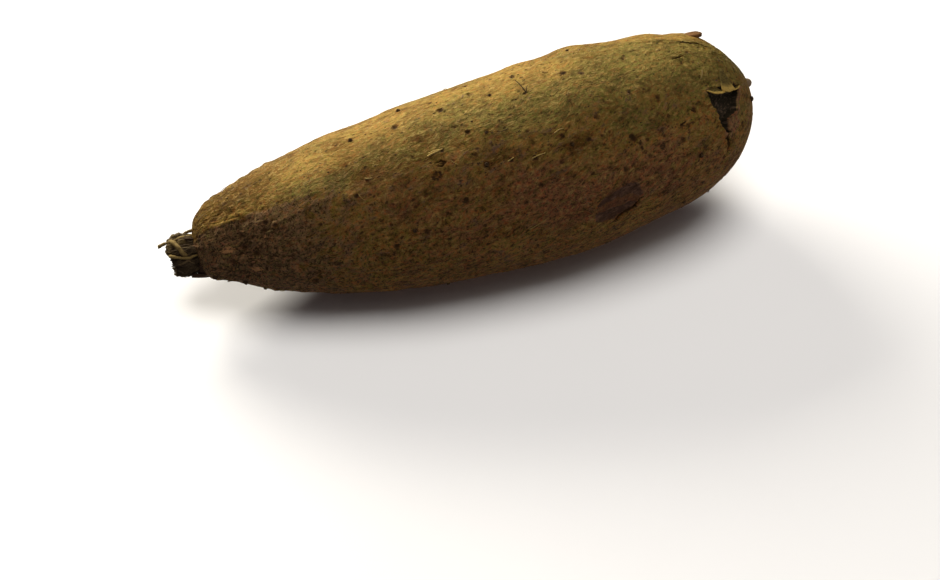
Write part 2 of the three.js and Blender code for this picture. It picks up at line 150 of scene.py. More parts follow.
# Outlines on the skin, each a list of x and angle.
EYE_HOLE = [
    (81.2, 123.5), (81.5, 129), (81.8, 133), (83.4, 137.7), (83.9, 141), (83.8, 144.4), (84.4, 147.6),
    (85.7, 152), (86.9, 155.8), (88.4, 157.4), (88.1, 151.6), (88.1, 148), (88.4, 146), (90.1, 145.5),
    (91.8, 144.9), (93.2, 144), (94.1, 138.8), (94.6, 134.8), (96.6, 126.5), (97.6, 123.5), (91, 121.5),
]
SCUFF = [
    (30.2, 176), (32, 169), (36, 162.4), (42, 161.4), (47.8, 165), (49.6, 171), (46.2, 179.4), (39.6, 184),
    (34, 184),
]
SCUFF_BANDS = [
    [(31, 169), (34, 165.4), (38, 164.6), (41.5, 162.6), (45, 161.8), (48.6, 164.6), (50, 171.6),
     (48.6, 172.4), (46, 169.4), (42, 169), (37, 169.2), (33, 170.6)],
    [(29.6, 172.4), (31.4, 174.6), (34, 175.4), (38, 174.8), (42, 175), (45.6, 174.4), (47.6, 176.6),
     (44.6, 179.4), (41, 181.4), (37.4, 183.4), (34.4, 183.8), (31.4, 180.8)],
]
BARK_PLATES = [
    [(59, 70), (73, 79), (84, 83), (89, 89), (90, 95), (93, 93), (91.5, 86), (87, 79), (76, 74), (66, 67)],
    [(-98, 170), (-91, 174), (-83, 170), (-84, 161), (-93, 158)],
    [(-52, 18), (-40, 24), (-26, 20), (-30, 12), (-45, 9)],
    [(12, 320), (22, 328), (38, 324), (34, 314), (20, 312)],
]
CRACKS = [  # width and depth in millimetres, then the line
    (0.8, 1.1, [(88, 156), (87.4, 160), (88.4, 166), (87.2, 173)]),
    (1.0, 1.3, [(49.4, 174.4), (47.8, 177.5), (46.4, 180.2), (43.6, 181), (41.2, 182.8), (39.2, 185.8)]),
    (0.5, 0.5, [(73, 97), (75, 96.4), (77.5, 95.4)]),
    (0.9, 1.0, [(-4, 214), (2, 219), (9, 217), (15, 222)]),
    (0.9, 1.0, [(-58, 30), (-52, 36), (-47, 35)]),
    (0.9, 1.0, [(55, 8), (61, 2), (68, 4), (73, -2)]),
    (0.5, 0.3, [(73, 76.4), (77.6, 76.6), (81, 80.2), (84.3, 82.1), (87.5, 83), (90.4, 84.8), (92.4, 88.2)]),
    (0.5, 0.6, [(85.5, 81), (87.4, 82), (89, 85.4), (91, 87.4)]),
    (0.5, 0.45, [(95.9, 153.4), (95.3, 156), (95.6, 158.8)]),
    (0.45, 0.4, [(67.2, 139.8), (68.4, 139), (69.9, 138.2)]),
    (0.4, 0.35, [(72.4, 132.2), (73.2, 133.6), (74.4, 134.4)]),
    (0.5, 0.5, [(-22.6, 119), (-21, 118.2), (-19.6, 120), (-21, 121.8), (-22.8, 121)]),
    (0.5, 0.5, [(20, 262), (24, 264), (25, 268), (22, 270)]),
    (0.6, 0.6, [(-40, 250), (-34, 254), (-29, 252)]),
    (0.5, 0.5, [(36, 40), (39, 44), (38, 48)]),
    (0.5, 0.5, [(-20, 350), (-13, 353), (-8, 350)]),
]
TINTS = [  # kind, x, angle, reach along, reach round, strength
    ("gold", -66, 93, 10, 11, 1.5),
    ("gold", -50, 76, 12, 10, 0.35),
    ("gold", -75, 84, 7, 12, 0.5),
    ("gold", -98.7, 111, 7, 5, 1.2),
    ("gold", -90, 110, 8, 5, 0.7),
    ("gold", -82, 103, 7, 6, 0.5),
    ("gold", 55, 160, 28, 16, 0.4),
    ("bark", -93, 84, 9, 10, 0.4),
    ("bark", -55, 83, 6, 5, 0.4),
    ("olive", -67, 110, 7, 6, 0.8),
    ("gold", -36, 74, 12, 12, 0.3),
    ("gold", 12, 74, 30, 12, 0.7),
    ("gold", -8, 90, 22, 14, 1.0),
    ("gold", 24, 92, 16, 9, 0.8),
    ("gold", 40, 330, 30, 26, 0.6),
    ("bark", -106, 70, 25, 60, 1.3),
    ("bark", 92, 84, 14, 22, 0.5),
    ("bark", -46, 104, 9, 8, 0.6),
    ("bark", -50, 112, 9, 8, 0.7),
    ("bark", -72, 98, 5, 4, 0.5),
    ("bark", 26.5, 132, 4, 5, 0.9),
    ("bark", 43, 112, 5, 6, 0.8),
    ("bark", 48, 96, 4, 4, 0.7),
    ("bark", -3, 128, 6, 6, 0.5),
    ("bark", -36, 108, 24, 12, 0.4),
    ("olive", -60, 110, 12, 9, 0.9),
    ("olive", -20, 90, 18, 12, 0.6),
    ("olive", 2, 104, 16, 14, 0.7),
    ("olive", 48, 132, 16, 12, 0.7),
    ("olive", -32, 109, 16, 10, 0.6),
    ("olive", 25, 109, 18, 10, 1.0),
    ("olive", 60, 92, 30, 28, 1.2),
    ("olive", 89, 98, 15, 32, 1.4),
    ("olive", 86, 68, 14, 14, -0.9),
    ("gold", 86, 70, 12, 12, 0.8),
    ("rust", 89, 78, 8, 7, 0.7),
    ("olive", -10, 30, 26, 24, 0.6),
    ("olive", 30, 225, 22, 20, 0.5),
    ("olive", -50, 320, 20, 24, 0.7),
    ("rust", -38, 136, 26, 18, 0.5),
    ("rust", 3, 153, 28, 20, 0.9),
    ("rust", 30, 160, 24, 17, 0.8),
    ("rust", 64, 164, 22, 20, 0.8),
    ("olive", 96, 142, 10, 16, 0.6),
    ("rust", -94, 76, 14, 24, 0.5),
    ("rust", -20, 270, 40, 40, 0.6),
    ("ember", -98.8, 148.9, 2.4, 5, 1.3),
    ("ember", -90.3, 177, 1.9, 4, 1.3),
    ("ember", -94, 158, 1.2, 2.5, 0.7),
    ("ember", -85, 141, 1.4, 2.5, 0.7),
    ("ember", -80, 163, 1.4, 3, 0.6),
    ("ember", -97, 20, 2.2, 5, 0.9),
    ("ember", -88, 330, 2, 4, 0.8),
    ("ember", -92, 262, 2.4, 4, 0.8),
    ("rust", 50, 10, 24, 22, 0.6),
]
SCALE_COUNT = 15
SCALE_LENGTH = 6
SCALE_WIDTH = 16

# How far parts of the skin sink or stand out, in millimetres.
EYE_RIM_RISE = 0.35
SCUFF_SINK = 0.4
BAND_SINK = 0.35
PLATE_RISES = [0.35] + [0.6] * (len(BARK_PLATES) - 1)
SCALE_RISE = 0.06
SCALE_LIFT = 0.4
CRACK_LIP = 0.18
# How the torn eye's depth is shared between its steep wall and its bowl.
EYE_WALL, EYE_BOWL = 0.72, 0.28
# How dark the listed root scars are, and the spread ones.
LISTED_DARKNESS, SPREAD_DARKNESS = 0.76, 0.62

# How far the scars' edges wander, how rough the torn eye is inside, and the heights between which the skin's
# relief comes in above the floor.
SCAR_WOBBLE = 1.4 * MM
FLESH_ROUGHNESS = 1.6 * MM
RESTING_EDGE = (0.2 * MM, 2.5 * MM)
FULL_TURN = 6.283
SHEEN = 0.08

# Fibres in the vine's broken end, how deep that end is broken, and how rough the pale lumps are.
END_STRANDS = 70
BREAK_DEPTH = 1.6 * MM
LUMP_ROUGHNESS = 0.9 * MM
# Scattered pieces for each square metre, where a setting asks for one for each square centimetre.
PER_SQUARE_CM = 1e4

# Colours that are laid over those of the settings, as linear red, green and blue.
DULL_BARK = (0.7, 0.7, 0.42)
PEELED_BARK = (0.42, 0.21, 0.12)
# Darkens blotches, and paints shade where they lie towards the shaded side.
BLOTCH_AND_SHADE = (0.52, 0.49, 0.5)
AGED_GREEN = (0.46, 0.52, 0.42)
AGED_YELLOW = (0.34, 0.22, 0.07)
RUDDY = (1.25, 0.86, 0.75)
LEAFY = (0.86, 1.1, 0.8)
SAND = (0.55, 0.29, 0.12)
OLD_SAND = (0.4, 0.27, 0.14)
# Dark crease lines: painted shade in creases.
FOLD_SHADE = (0.07, 0.024, 0.01)
BUD = (0.4, 0.3, 0.2)
EMBER = (0.72, 0.37, 0.15)
SCAR_RING = (0.13, 0.055, 0.022)
SCAR_MIDDLE = (0.034, 0.019, 0.008)
RUBBED = (0.15, 0.062, 0.03)
FRAYED = (0.2, 0.115, 0.07)
PALE_FLESH = (0.2, 0.14, 0.09)
# Darkens the hollows of the fine relief: painted shade.
CAVITY_SHADE = (0.03, 0.016, 0.008)
TORN_STREAK = (0.24, 0.14, 0.04)
TORN_GREEN = (0.2, 0.15, 0.04)
TORN_SHADE = (0.1, 0.07, 0.024)
SLIVER_SHADE = (0.2, 0.09, 0.03)
SOIL_SHADE = (0.035, 0.022, 0.014)
VINE_ROT = (0.032, 0.022, 0.014)
LUMP_SHADE = (0.08, 0.055, 0.028)
FOOT_BARK = [(0.05, 0.03, 0.02), (0.12, 0.068, 0.04)]

# Sheets of torn skin: name, thickness against the skin's, the line that each is rooted in, its free edge,
# how far that is lifted, how ragged it is, how late it curls, and how deep its root is sunk.
TORN_SHEETS = [
    ("lip", 1, [(80.8, 121.8), (83.4, 122), (85.6, 122.6), (87.4, 125)],
     [(81, 124), (83, 127.4), (85.4, 128.4), (88.6, 128.1)], [0.1, 1.2, 1.4, 0.8], 0.2, 1.5, 0.5),
    ("flap", 1, [(90.2, 109.6), (91.0, 109.2), (91.8, 109.6)],
     [(87.0, 126.6), (90.0, 128.6), (92.6, 127)], [0.9, 1.3, 1.1], 0.25, 2.4, 0.15),
    ("rim", 0.8, [(92.6, 126), (94.8, 125.4), (97.4, 123.2)],
     [(92.6, 127.9), (95, 127.1), (98, 124)], [0.9, 1.0, 0.2], 0.1, 1.6, 0.5),
]
# The lifted sliver of bark, in the same way from its root on, and its thickness in metres.
SLIVER = (
    [(86, 61), (86.3, 63.5), (86.3, 66), (86, 69)], [(90.4, 61), (91.7, 63.5), (91.2, 66.5), (90, 69.5)],
    [2.0, 2.4, 2.1, 1.5], 0.2, 1.1, 0.5,
)
SLIVER_THICKNESS = 1.3 * MM
# Points along and across each sheet.
SHEET_STEPS, SHEET_WIDTH = 28, 9

# The vine's base: points round it are given as distance out from its foot, angle, and distance from its
# middle.
STUB_FOOT = np.array([-104.0, -1.0, 26.0])
STUB_LENGTH = 14.0
STUB_RADIUS = 6.9
STUB_WIDTHS = [1, 0.97, 0.94, 1.04, 1, 0.86]
STUB_DROOP = 0.6
STUB_RIBS = 9
# The plug's rows and sides of faces, and the shares of its rows in its foot, its sides and its broken end.
PLUG_RINGS, PLUG_SIDES = 74, 150
FOOT_SHARE, SIDE_SHARE, END_SHARE = 0.1, 0.76, 0.14
ROOTS = [  # radius at both ends, tone, then the line
    (0.65, 0.6, 0.48, [
        (5, 70, 6.8), (9, 72, 7.1), (13, 78, 7.0), (15.3, 74, 6.6), (17, 75, 6.3), (18, 76, 6),
    ]),
    (0.95, 0.85, 0.48, [
        (13.6, 76, 6.9), (12.6, 88, 7.3), (11.4, 106, 7.6), (10.4, 122, 7.5), (9.5, 133, 7.0),
        (8.9, 137, 6.0),
    ]),
    (0.66, 0.34, 0.55, [
        (14.9, 126, 6.6), (13.6, 132, 7.2), (12.4, 136, 7.3), (10.4, 142, 7.3), (8.4, 146, 7.4),
        (6.4, 144, 7.3), (4.6, 143, 6.9),
    ]),
    (0.6, 0.5, 0.38, [
        (10.5, 66, 6.4), (8.8, 56, 7.1), (7.5, 56, 7.9), (6, 60, 8.3), (4.2, 61, 8.1), (3, 62, 7.3),
    ]),
    (0.4, 0.3, 0.1, [(4, 92, 6.6), (7, 88, 7.4), (10, 82, 7.3), (12.6, 72, 7.1)]),
    (0.6, 0.45, 0.5, [(7, 10, 5.4), (9.6, 6, 8), (12, 0, 9.2), (14, 352, 8.8)]),
    (0.55, 0.4, 0.6, [(8, 318, 5.6), (9.5, 318, 8), (11.6, 310, 9.2), (13, 300, 9.8)]),
    (0.5, 0.4, 0.4, [(9, 262, 5.4), (10.6, 258, 7.2), (12.6, 254, 7.6), (14.8, 262, 7.2)]),
    (0.5, 0.35, 0.3, [(3, 214, 6.2), (5.5, 219, 6.9), (8, 222, 7.0), (10.4, 228, 6.2)]),
]
# The blunt tip of the first root: radii, tone and line.
ROOT_TIP = ([0.5, 0.62, 0.45], 0.5, [(17.6, 75.5, 6.1), (18.0, 76, 6.0), (18.3, 78, 5.9)])
# Lumps of pale, broken root on the vine's base: out, angle, distance from the middle, size.
LUMPS = [
    (12.6, 84, 5.8, 1.9), (13.9, 92, 5.6, 1.7), (14.3, 102, 5.7, 1.5), (11.2, 72, 5.9, 1.5),
    (14.6, 112, 5.6, 1.2), (13.4, 74, 5.4, 1.6), (9.6, 66, 6.2, 1.2), (11.6, 62, 6.5, 2.1),
    (10.3, 52, 6.6, 1.9), (8.4, 60, 6.5, 1.5), (12.8, 70, 6.2, 1.9), (9.4, 86, 5.6, 2.1),
]
# Old scales of bark that reach from the crown over the vine's foot: angle, reach out, half width, distance.
FOOT_SCALES = [
    (168, 2.8, 15, 9.1), (188, 5.4, 14, 9.7), (196, 5.0, 16, 8.4), (214, 6.0, 16, 8.8),
    (234, 6.6, 16, 8.6), (204, 4.2, 13, 10.3), (219, 8.2, 15, 10.2), (238, 6.0, 14, 10.4),
    (258, 7.0, 14, 9.8), (284, 4.0, 16, 9.6), (318, 5.4, 17, 9.2), (352, 2.8, 15, 9.4),
]

# Hairs of dry root that lie on the skin: points as x, angle and height above the skin, then thickness, and
# tone from 0, dark, to 1, pale.
HAIRS = [
    ([(15.3, 94, 0.0), (14.6, 91, 0.9), (13.8, 87, 1.5), (13.0, 84, 1.9)], 0.22, 0.12),
    ([(15.1, 94, 0.0), (15.6, 92, 0.8), (16.2, 90.5, 1.2)], 0.2, 0.15),
    ([(-24.8, 113.4, 0.2), (-23, 112.8, 0.6), (-21, 112.3, 0.6), (-19.2, 112, 0.9)], 0.34, 1.0),
    ([(-24.2, 111.6, 0.1), (-22, 111.4, 0.5), (-20.4, 111.6, 0.5)], 0.26, 0.85),
    ([(9.8, 131.8, 0.1), (12, 131.2, 0.5), (14.6, 131, 0.5)], 0.24, 0.9),
    ([(19.5, 122.6, 0.1), (21.2, 121.6, 0.4), (23, 121.4, 0.3)], 0.26, 0.6),
    ([(82.6, 108.6, 0.1), (81.8, 111, 0.4), (81.2, 113, 0.4), (80.3, 115.4, 0.2)], 0.24, 0.42),
    ([(-47.5, 116, 0.1), (-46.4, 117, 0.6), (-45, 117.4, 0.8)], 0.4, 0.5),
    ([(1.4, 129.6, 0.1), (2.6, 129.0, 0.4), (3.7, 128.4, 0.3)], 0.24, 0.9),
    ([(-84.4, 137.6, 0.1), (-83.2, 137, 0.5), (-82, 136.4, 0.3)], 0.42, 0.35),
    ([(5.5, 172, 0.1), (9, 169.5, 0.5), (12.5, 167.5, 0.3)], 0.18, 0.6),
]
# Points along each listed hair, loose hair, clinging root, side fibre and end fibre.
HAIR_STEPS, LOOSE_STEPS, ROOT_STEPS, SIDE_STEPS, END_STEPS = 14, 12, 34, 10, 5
# The torn eye's surroundings, where no loose hair is rooted: from and to in x, and in angle.
EYE_REGION = ((70, 100), (105, 175))

# The stage, in metres and degrees: each lamp's name, place, target, size, setting of power and colour.
LAMPS = [
    ("key_light", (-0.20, 0.65, 0.40), (-0.02, 0, 0.035), (0.45, 0.3), "key", (1.0, 0.96, 0.88)),
    ("top_light", (0.05, -0.1, 1.1), (0, 0, 0.035), (1.0, 1.0), "top", (1.0, 0.92, 0.84)),
    ("fill_light", (0.55, -0.45, 0.12), (0.04, 0, 0.03), (0.6, 0.3), "fill", (1.0, 0.94, 1.0)),
]
FLOOR_HALF = 6.0
CAMERA_TARGET = (-0.01474, -0.0503, 0.03)
CAMERA_TURN, CAMERA_RISE, CAMERA_DISTANCE = -18, 48, 0.46


# --- The tuber's form -------------------------------------------------------------------------------------


def catmull_rom(padded, place):
    """A smooth curve through values that have one more before the first and after the last."""
    i = np.minimum(place.astype(int), len(padded) - 4)
    f = (place - i).reshape(place.shape + (1,) * (padded.ndim - 1))
    a, b, c, d = (padded[i + k] for k in range(4))
    return 0.5 * (2 * b + (c - a) * f + (2 * a - 5 * b + 4 * c - d) * f**2 + (3 * b - a - 3 * c + d) * f**3)


def along(values, t, poles=False):
    """A smooth curve through evenly spaced values; at a pole the values beyond it are turned over."""
    before = -values[1] if poles else 2 * values[0] - values[1]
    after = -values[-2] if poles else 2 * values[-1] - values[-2]
    return catmull_rom(np.array([before, *values, after], float), np.clip(t, 0, 1) * (len(values) - 1))


def smooth_path(points, steps):
    """Points along a smooth curve through the given ones."""
    p = np.asarray(points, float)
    return catmull_rom(np.vstack([2 * p[0] - p[1], p, 2 * p[-1] - p[-2]]), np.linspace(0, len(p) - 1, steps))


def bump(distance, reach):
    """A bell curve: 1 in the middle, about a third at its reach."""
    return np.exp(-((distance / reach) ** 2))


def turn_between(degrees, other):
    """The angle from the other to this one, from -180 to 180."""
    return (degrees - other + 180) % 360 - 180


def relief(x, angle):
    """How far the flesh stands out from its smooth radius."""
    waves = (
        0.45 * np.sin(0.052 * x + 0.9) * np.cos(angle - 0.7)
        + 0.35 * np.cos(2 * angle + 0.03 * x + 0.4)
        + 0.35 * np.cos(3 * angle - 0.05 * x + 1.9)
        + 0.28 * np.sin(5 * angle + 0.085 * x) * np.sin(0.11 * x + 0.6)
        + 0.16 * np.sin(11 * angle + 0.12 * x) * np.sin(0.3 * x - 2 * angle)
    )
    for sx, degrees, height, length, width in SWELLINGS:
        waves = waves + height * bump(x - sx, length) * bump(turn_between(np.degrees(angle), degrees), width)
    knobs = np.sin(0.92 * x + 2.2 * np.sin(3 * angle)) * np.sin(8 * angle + 0.35 * x)
    return waves + CROWN_KNOB_HEIGHT * knobs * bump(x + HALF_LENGTH, CROWN_REACH)


def skin_point(t, angle, outside=0.0):
    """Points on the skin in millimetres, or as far outside it as is asked."""
    t, angle = np.broadcast_arrays(np.asarray(t, float), np.asarray(angle, float))
    x = -(HALF_LENGTH + outside) * np.cos(math.pi * t)
    fade = np.sqrt(np.clip(np.sin(math.pi * t), 0, 1))
    radius = np.maximum(0, along(RADII, t, True) + fade * (relief(x, angle) + outside))
    y = along(AXIS_SWAYS, t) + radius * np.cos(angle)
    z = along(AXIS_HEIGHTS, t) + radius * np.sin(angle)
    return np.stack([x, y, np.maximum(z, -outside)], -1)


def spot(x, degrees, outside=0.0):
    """The skin's point at an x and an angle."""
    return skin_point(np.arccos(-np.asarray(x, float) / HALF_LENGTH) / math.pi, np.radians(degrees), outside)


def skin_axes(x, degrees):
    """Unit vectors at a spot: towards the tip, round the skin, and straight out."""
    t, angle = math.acos(-x / HALF_LENGTH) / math.pi, math.radians(degrees)
    lengthways = skin_point(t + 0.004, angle) - skin_point(t - 0.004, angle)
    round_skin = skin_point(t, angle - 0.02) - skin_point(t, angle + 0.02)
    lengthways /= np.linalg.norm(lengthways)
    outward = np.cross(lengthways, round_skin)
    outward /= np.linalg.norm(outward)
    return lengthways, np.cross(outward, lengthways), outward


def seeded(seed):
    """The same stream of numbers from 0 to 1 that spreads the scars of the CAD part."""
    mask = 0xFFFFFFFF
    state = seed
    while True:
        state = (state + 0x6D2B79F5) & mask
        mixed = (state ^ (state >> 15)) * (1 | state) & mask
        mixed = (mixed + ((mixed ^ (mixed >> 7)) * (61 | mixed) & mask)) & mask ^ mixed
        yield ((mixed ^ (mixed >> 14)) & mask) / 2**32


def root_scars():
    """Every root scar as x, angle, radius and whether a stump stands on it."""
    stream = seeded(SCAR_SEED)
    low, high = SPREAD_SIDES
    places = list(SCARS)
    for i in range(SPREAD_SCARS):
        x = -96 + 196 * (i + next(stream)) / SPREAD_SCARS
        places.append((x, low + (high - low) * ((i * GOLDEN_RATIO + 0.1 * next(stream)) % 1)))
    scars = []
    for i, (x, degrees) in enumerate(places):
        radius = SCAR_RADIUS[0] + (SCAR_RADIUS[1] - SCAR_RADIUS[0]) * next(stream)
        if spot(x, degrees)[2] > 4:
            scars.append((x, degrees, radius, i % NUB_EVERY == 0))
    return scars


def crown_scales():
    """Outlines of the old bark's scales round the crown; the first two corners are the lifted end."""
    outlines = []
    for i in range(SCALE_COUNT):
        x = -101 + 26 * i / SCALE_COUNT
        degrees = (i * GOLDEN_ANGLE + 60) % 360
        uneven = 0.75 + 0.5 * ((0.618 * i) % 1)
        length = SCALE_LENGTH * uneven
        half = SCALE_WIDTH / 2 * (1 - 0.4 * i / SCALE_COUNT) / uneven
        outlines.append([
            (x, degrees - 0.7 * half),
            (x - 0.8 * uneven, degrees + 0.5 * half),
            (x + 0.6 * length, degrees + half),
            (x + length, degrees - 0.2 * half),
            (x + 0.5 * length, degrees - half),
        ])
    return outlines


def in_metres(points):
    """The tuber's millimetres as metres from the part's origin."""
    return (np.asarray(points) + TUBER_SHIFT) * MM


class Patch:
    """A piece of skin seen square on, so that outlines on it can be measured in millimetres."""

    def __init__(self, corners, closed=True, ragged=0.0, step=0.7, seed=1):
        self.corners = spot([c[0] for c in corners], [c[1] for c in corners])
        self.centre = self.corners.mean(0)
        e1, e2, self.out = skin_axes(np.mean([c[0] for c in corners]), np.mean([c[1] for c in corners]))
        self.axes = np.stack([e1, e2])
        line = (self.corners - self.centre) @ self.axes.T
        self.closed = closed
        self.line = roughen(line, closed, ragged, step, seed)
        self.reach = np.abs(line).max() * 1.5 + 4

    def flat(self, points):
        """Which points are near, and their places on the patch."""
        offset = points - self.centre
        near = (np.linalg.norm(offset, axis=1) < self.reach + 4) & (offset @ self.out > -12)
        return near, offset[near] @ self.axes.T

    def distance(self, points):
        """Distance to the outline, below zero inside it, and how far along it each point is, from 0 to 1."""
        near, flat = self.flat(points)
        result, place = np.full(len(points), 99.0), np.zeros(len(points))
        if near.any():
            result[near], place[near] = line_distance(flat, self.line, self.closed)
        return result, place


def roughen(line, closed, ragged, step, seed):
    """The same line with more points, each a little off it."""
    rng = random.Random(seed)
    ends = np.roll(line, -1, 0) if closed else line[1:]
    points = []
    for a, b in zip(line, ends):
        count = max(1, round(np.linalg.norm(b - a) / step))
        aside = np.array([-(b - a)[1], (b - a)[0]]) / max(np.linalg.norm(b - a), 1e-6)
        for i in range(count):
            shift = ragged * rng.uniform(-1, 1) if i else 0.0
            points.append(a + (b - a) * i / count + aside * shift)
    if not closed:
        points.append(line[-1])
    return np.array(points)


def line_distance(points, line, closed):
    """Distance from flat points to a line or, with a sign, to a closed outline."""
    starts = line if closed else line[:-1]
    ends = np.roll(line, -1, 0) if closed else line[1:]
    nearest, place = np.full(len(points), 1e9), np.zeros(len(points))
    inside = np.zeros(len(points), bool)
    for i, (a, b) in enumerate(zip(starts, ends)):
        edge = b - a
        f = np.clip(((points - a) @ edge) / max(edge @ edge, 1e-12), 0, 1)
        d = np.linalg.norm(points - a - f[:, None] * edge, axis=1)
        place = np.where(d < nearest, (i + f) / len(starts), place)
        nearest = np.minimum(nearest, d)
        if closed:
            crosses = (a[1] > points[:, 1]) != (b[1] > points[:, 1])
            level = a[0] + (points[:, 1] - a[1]) / (edge[1] if abs(edge[1]) > 1e-9 else 1e-9) * edge[0]
            inside ^= crosses & (points[:, 0] < level)
    return np.where(inside, -nearest, nearest), place


def smoothstep(value, low, high):
    """0 up to low, 1 from high on, and a smooth rise between them."""
    f = np.clip((value - low) / (high - low), 0, 1)
    return f * f * (3 - 2 * f)


# --- Node trees -------------------------------------------------------------------------------------------


def arithmetic(operation, swapped=False):
    """An operator that adds a Math node; the swapped form has the wire on its right."""
    def apply(self, other):
        return self.net.maths(operation, *((other, self) if swapped else (self, other)))
    return apply


class Wire:
    """A socket's value. Arithmetic on it adds Math nodes to its tree."""

    def __init__(self, net, socket):
        self.net, self.socket = net, socket

    __add__, __radd__ = arithmetic("ADD"), arithmetic("ADD", True)
    __sub__, __rsub__ = arithmetic("SUBTRACT"), arithmetic("SUBTRACT", True)
    __mul__, __rmul__ = arithmetic("MULTIPLY"), arithmetic("MULTIPLY", True)
    __truediv__, __rtruediv__ = arithmetic("DIVIDE"), arithmetic("DIVIDE", True)


class Made:
    """A node that has been added; its outputs are read by name."""

    def __init__(self, net, node):
        self.net, self.node = net, node

    def __getitem__(self, key):
        return Wire(self.net, pick(self.node.outputs, key))


def pick(sockets, key):
    """A socket by identifier or, failing that, by the name of one that is in use."""
    for socket in sockets:
        if socket.identifier == key:
            return socket
    for socket in sockets:
        if socket.name == key and socket.enabled:
            return socket
    raise KeyError(f"no socket {key}")


class Net:
    """Adds nodes to one tree."""

    def __init__(self, tree):
        self.tree = tree

    def node(self, kind, settings=None, inputs=None):
        """Any node, from its type, its settings, and the values or wires of its inputs."""
        made = self.tree.nodes.new(kind)
        for key, value in (settings or {}).items():
            setattr(made, key, value)
        for key, value in (inputs or {}).items():
            socket = pick(made.inputs, key)
            if isinstance(value, Wire):
                self.tree.links.new(value.socket, socket)
            elif isinstance(value, (list, tuple)) and len(value) == 3 and socket.type == "RGBA":
                socket.default_value = (*value, 1)
            else:
                socket.default_value = value
        return Made(self, made)

    def maths(self, operation, a, b=0.0):
        return self.node("ShaderNodeMath", {"operation": operation}, {"Value": a, "Value_001": b})["Value"]

    def vector(self, operation, a, b=(0, 0, 0)):
        made = self.node("ShaderNodeVectorMath", {"operation": operation}, {"Vector": a, "Vector_001": b})
        return made["Value" if operation == "DISTANCE" else "Vector"]

    def scaled(self, vector, *factors):
        return self.vector("MULTIPLY", vector, factors)

    def joined(self, **parts):
        """A vector from its X, Y and Z."""
        return self.node("ShaderNodeCombineXYZ", None, parts)["Vector"]

    def part(self, vector, axis):
        return self.node("ShaderNodeSeparateXYZ", None, {"Vector": vector})[axis]

    def noise(self, vector, detail=2.0, roughness=0.5, distortion=0.0):
        """Cloudy noise round 0.5."""
        return self.node("ShaderNodeTexNoise", None, {
            "Vector": vector, "Scale": 1.0, "Detail": detail,
            "Roughness": roughness, "Distortion": distortion,
        })["Fac"]

    def drift(self, vector, detail, scale=1.0):
        """A random vector that changes slowly from place to place, round zero."""
        cloud = self.node("ShaderNodeTexNoise", None, {"Vector": vector, "Scale": scale, "Detail": detail})
        return self.vector("SUBTRACT", cloud["Color"], (0.5, 0.5, 0.5))

    def cells(self, vector, feature):
        return self.node("ShaderNodeTexVoronoi", {"feature": feature}, {
            "Vector": vector, "Scale": 1.0, "Randomness": 1.0,
        })

    def smooth(self, value, low, high):
        """0 at low, 1 at high, and a smooth change between them."""
        return self.node("ShaderNodeMapRange", {"interpolation_type": "SMOOTHSTEP"}, {
            "Value": value, "From Min": low, "From Max": high,
        })["Result"]

    def mix(self, a, b, factor, blend="MIX"):
        return self.node("ShaderNodeMix", {"data_type": "RGBA", "blend_type": blend}, {
            "Factor_Float": factor, "A_Color": a, "B_Color": b,
        })["Result_Color"]


def new_material(name, build):
    """A material whose build function returns the colour, the roughness and the normal."""
    material = bpy.data.materials.new(name)
    material.use_nodes = True
    tree = material.node_tree
    tree.nodes.clear()
    net = Net(tree)
    tint, roughness, normal = build(net)
    surface = net.node("ShaderNodeBsdfPrincipled", None, {
        "Base Color": tint, "Roughness": roughness, "Specular IOR Level": SHEEN,
    })
    if normal is not None:
        tree.links.new(normal.socket, surface.node.inputs["Normal"])
    net.node("ShaderNodeOutputMaterial", None, {"Surface": surface["BSDF"]})
    return material


def relief_normal(net, height, depth):
    """Bump from a height that runs from 0 to 1 over so many millimetres."""
    return net.node("ShaderNodeBump", None, {
        "Strength": 1.0, "Distance": depth * MM, "Height": height,
    })["Normal"]


def millimetres(net, place):
    return net.scaled(place, 1000, 1000, 1000)


def surface_places(net):
    """Object coordinates in millimetres."""
    return millimetres(net, net.node("ShaderNodeTexCoord")["Object"])


def new_tree(name, inputs):
    """A geometry tree with a mesh input, the named inputs given, and a mesh output."""
    tree = bpy.data.node_groups.new(name, "GeometryNodeTree")
    tree.interface.new_socket("Geometry", in_out="INPUT", socket_type="NodeSocketGeometry")
    for label, kind, default in inputs:
        item = tree.interface.new_socket(label, in_out="INPUT", socket_type=kind)
        if default is not None:
            item.default_value = default
    tree.interface.new_socket("Geometry", in_out="OUTPUT", socket_type="NodeSocketGeometry")
    net = Net(tree)
    return tree, net, net.node("NodeGroupInput")


def end_tree(net, geometry, material):
    """Realizes, shades smooth and gives the material."""
    real = net.node("GeometryNodeRealizeInstances", None, {"Geometry": geometry})["Geometry"]
    smooth = net.node("GeometryNodeSetShadeSmooth", None, {"Geometry": real})["Geometry"]
    given = net.node("GeometryNodeSetMaterial", None, {"Geometry": smooth, "Material": material})["Geometry"]
    net.node("NodeGroupOutput", None, {"Geometry": given})


def named(net, name, kind="FLOAT"):
    """An attribute of the mesh, read by its name."""
    return net.node("GeometryNodeInputNamedAttribute", {"data_type": kind}, {"Name": name})["Attribute"]


def stored(net, geometry, name, value, domain="POINT"):
    return net.node("GeometryNodeStoreNamedAttribute", {"data_type": "FLOAT", "domain": domain}, {
        "Geometry": geometry, "Name": name, "Value": value,
    })["Geometry"]


def between(net, low, high, seed):
    """A random number for each point."""
    return net.node("FunctionNodeRandomValue", {"data_type": "FLOAT"}, {
        "Min_001": low, "Max_001": high, "Seed": seed,
    })["Value_001"]


def position(net):
    return net.node("GeometryNodeInputPosition")["Position"]


def facing(net):
    """The direction that the surface faces."""
    return net.node("GeometryNodeInputNormal")["Normal"]


def form_of(net, source):
    """The geometry of an object that a tree is given."""
    return net.node("GeometryNodeObjectInfo", None, {"Object": source})["Geometry"]


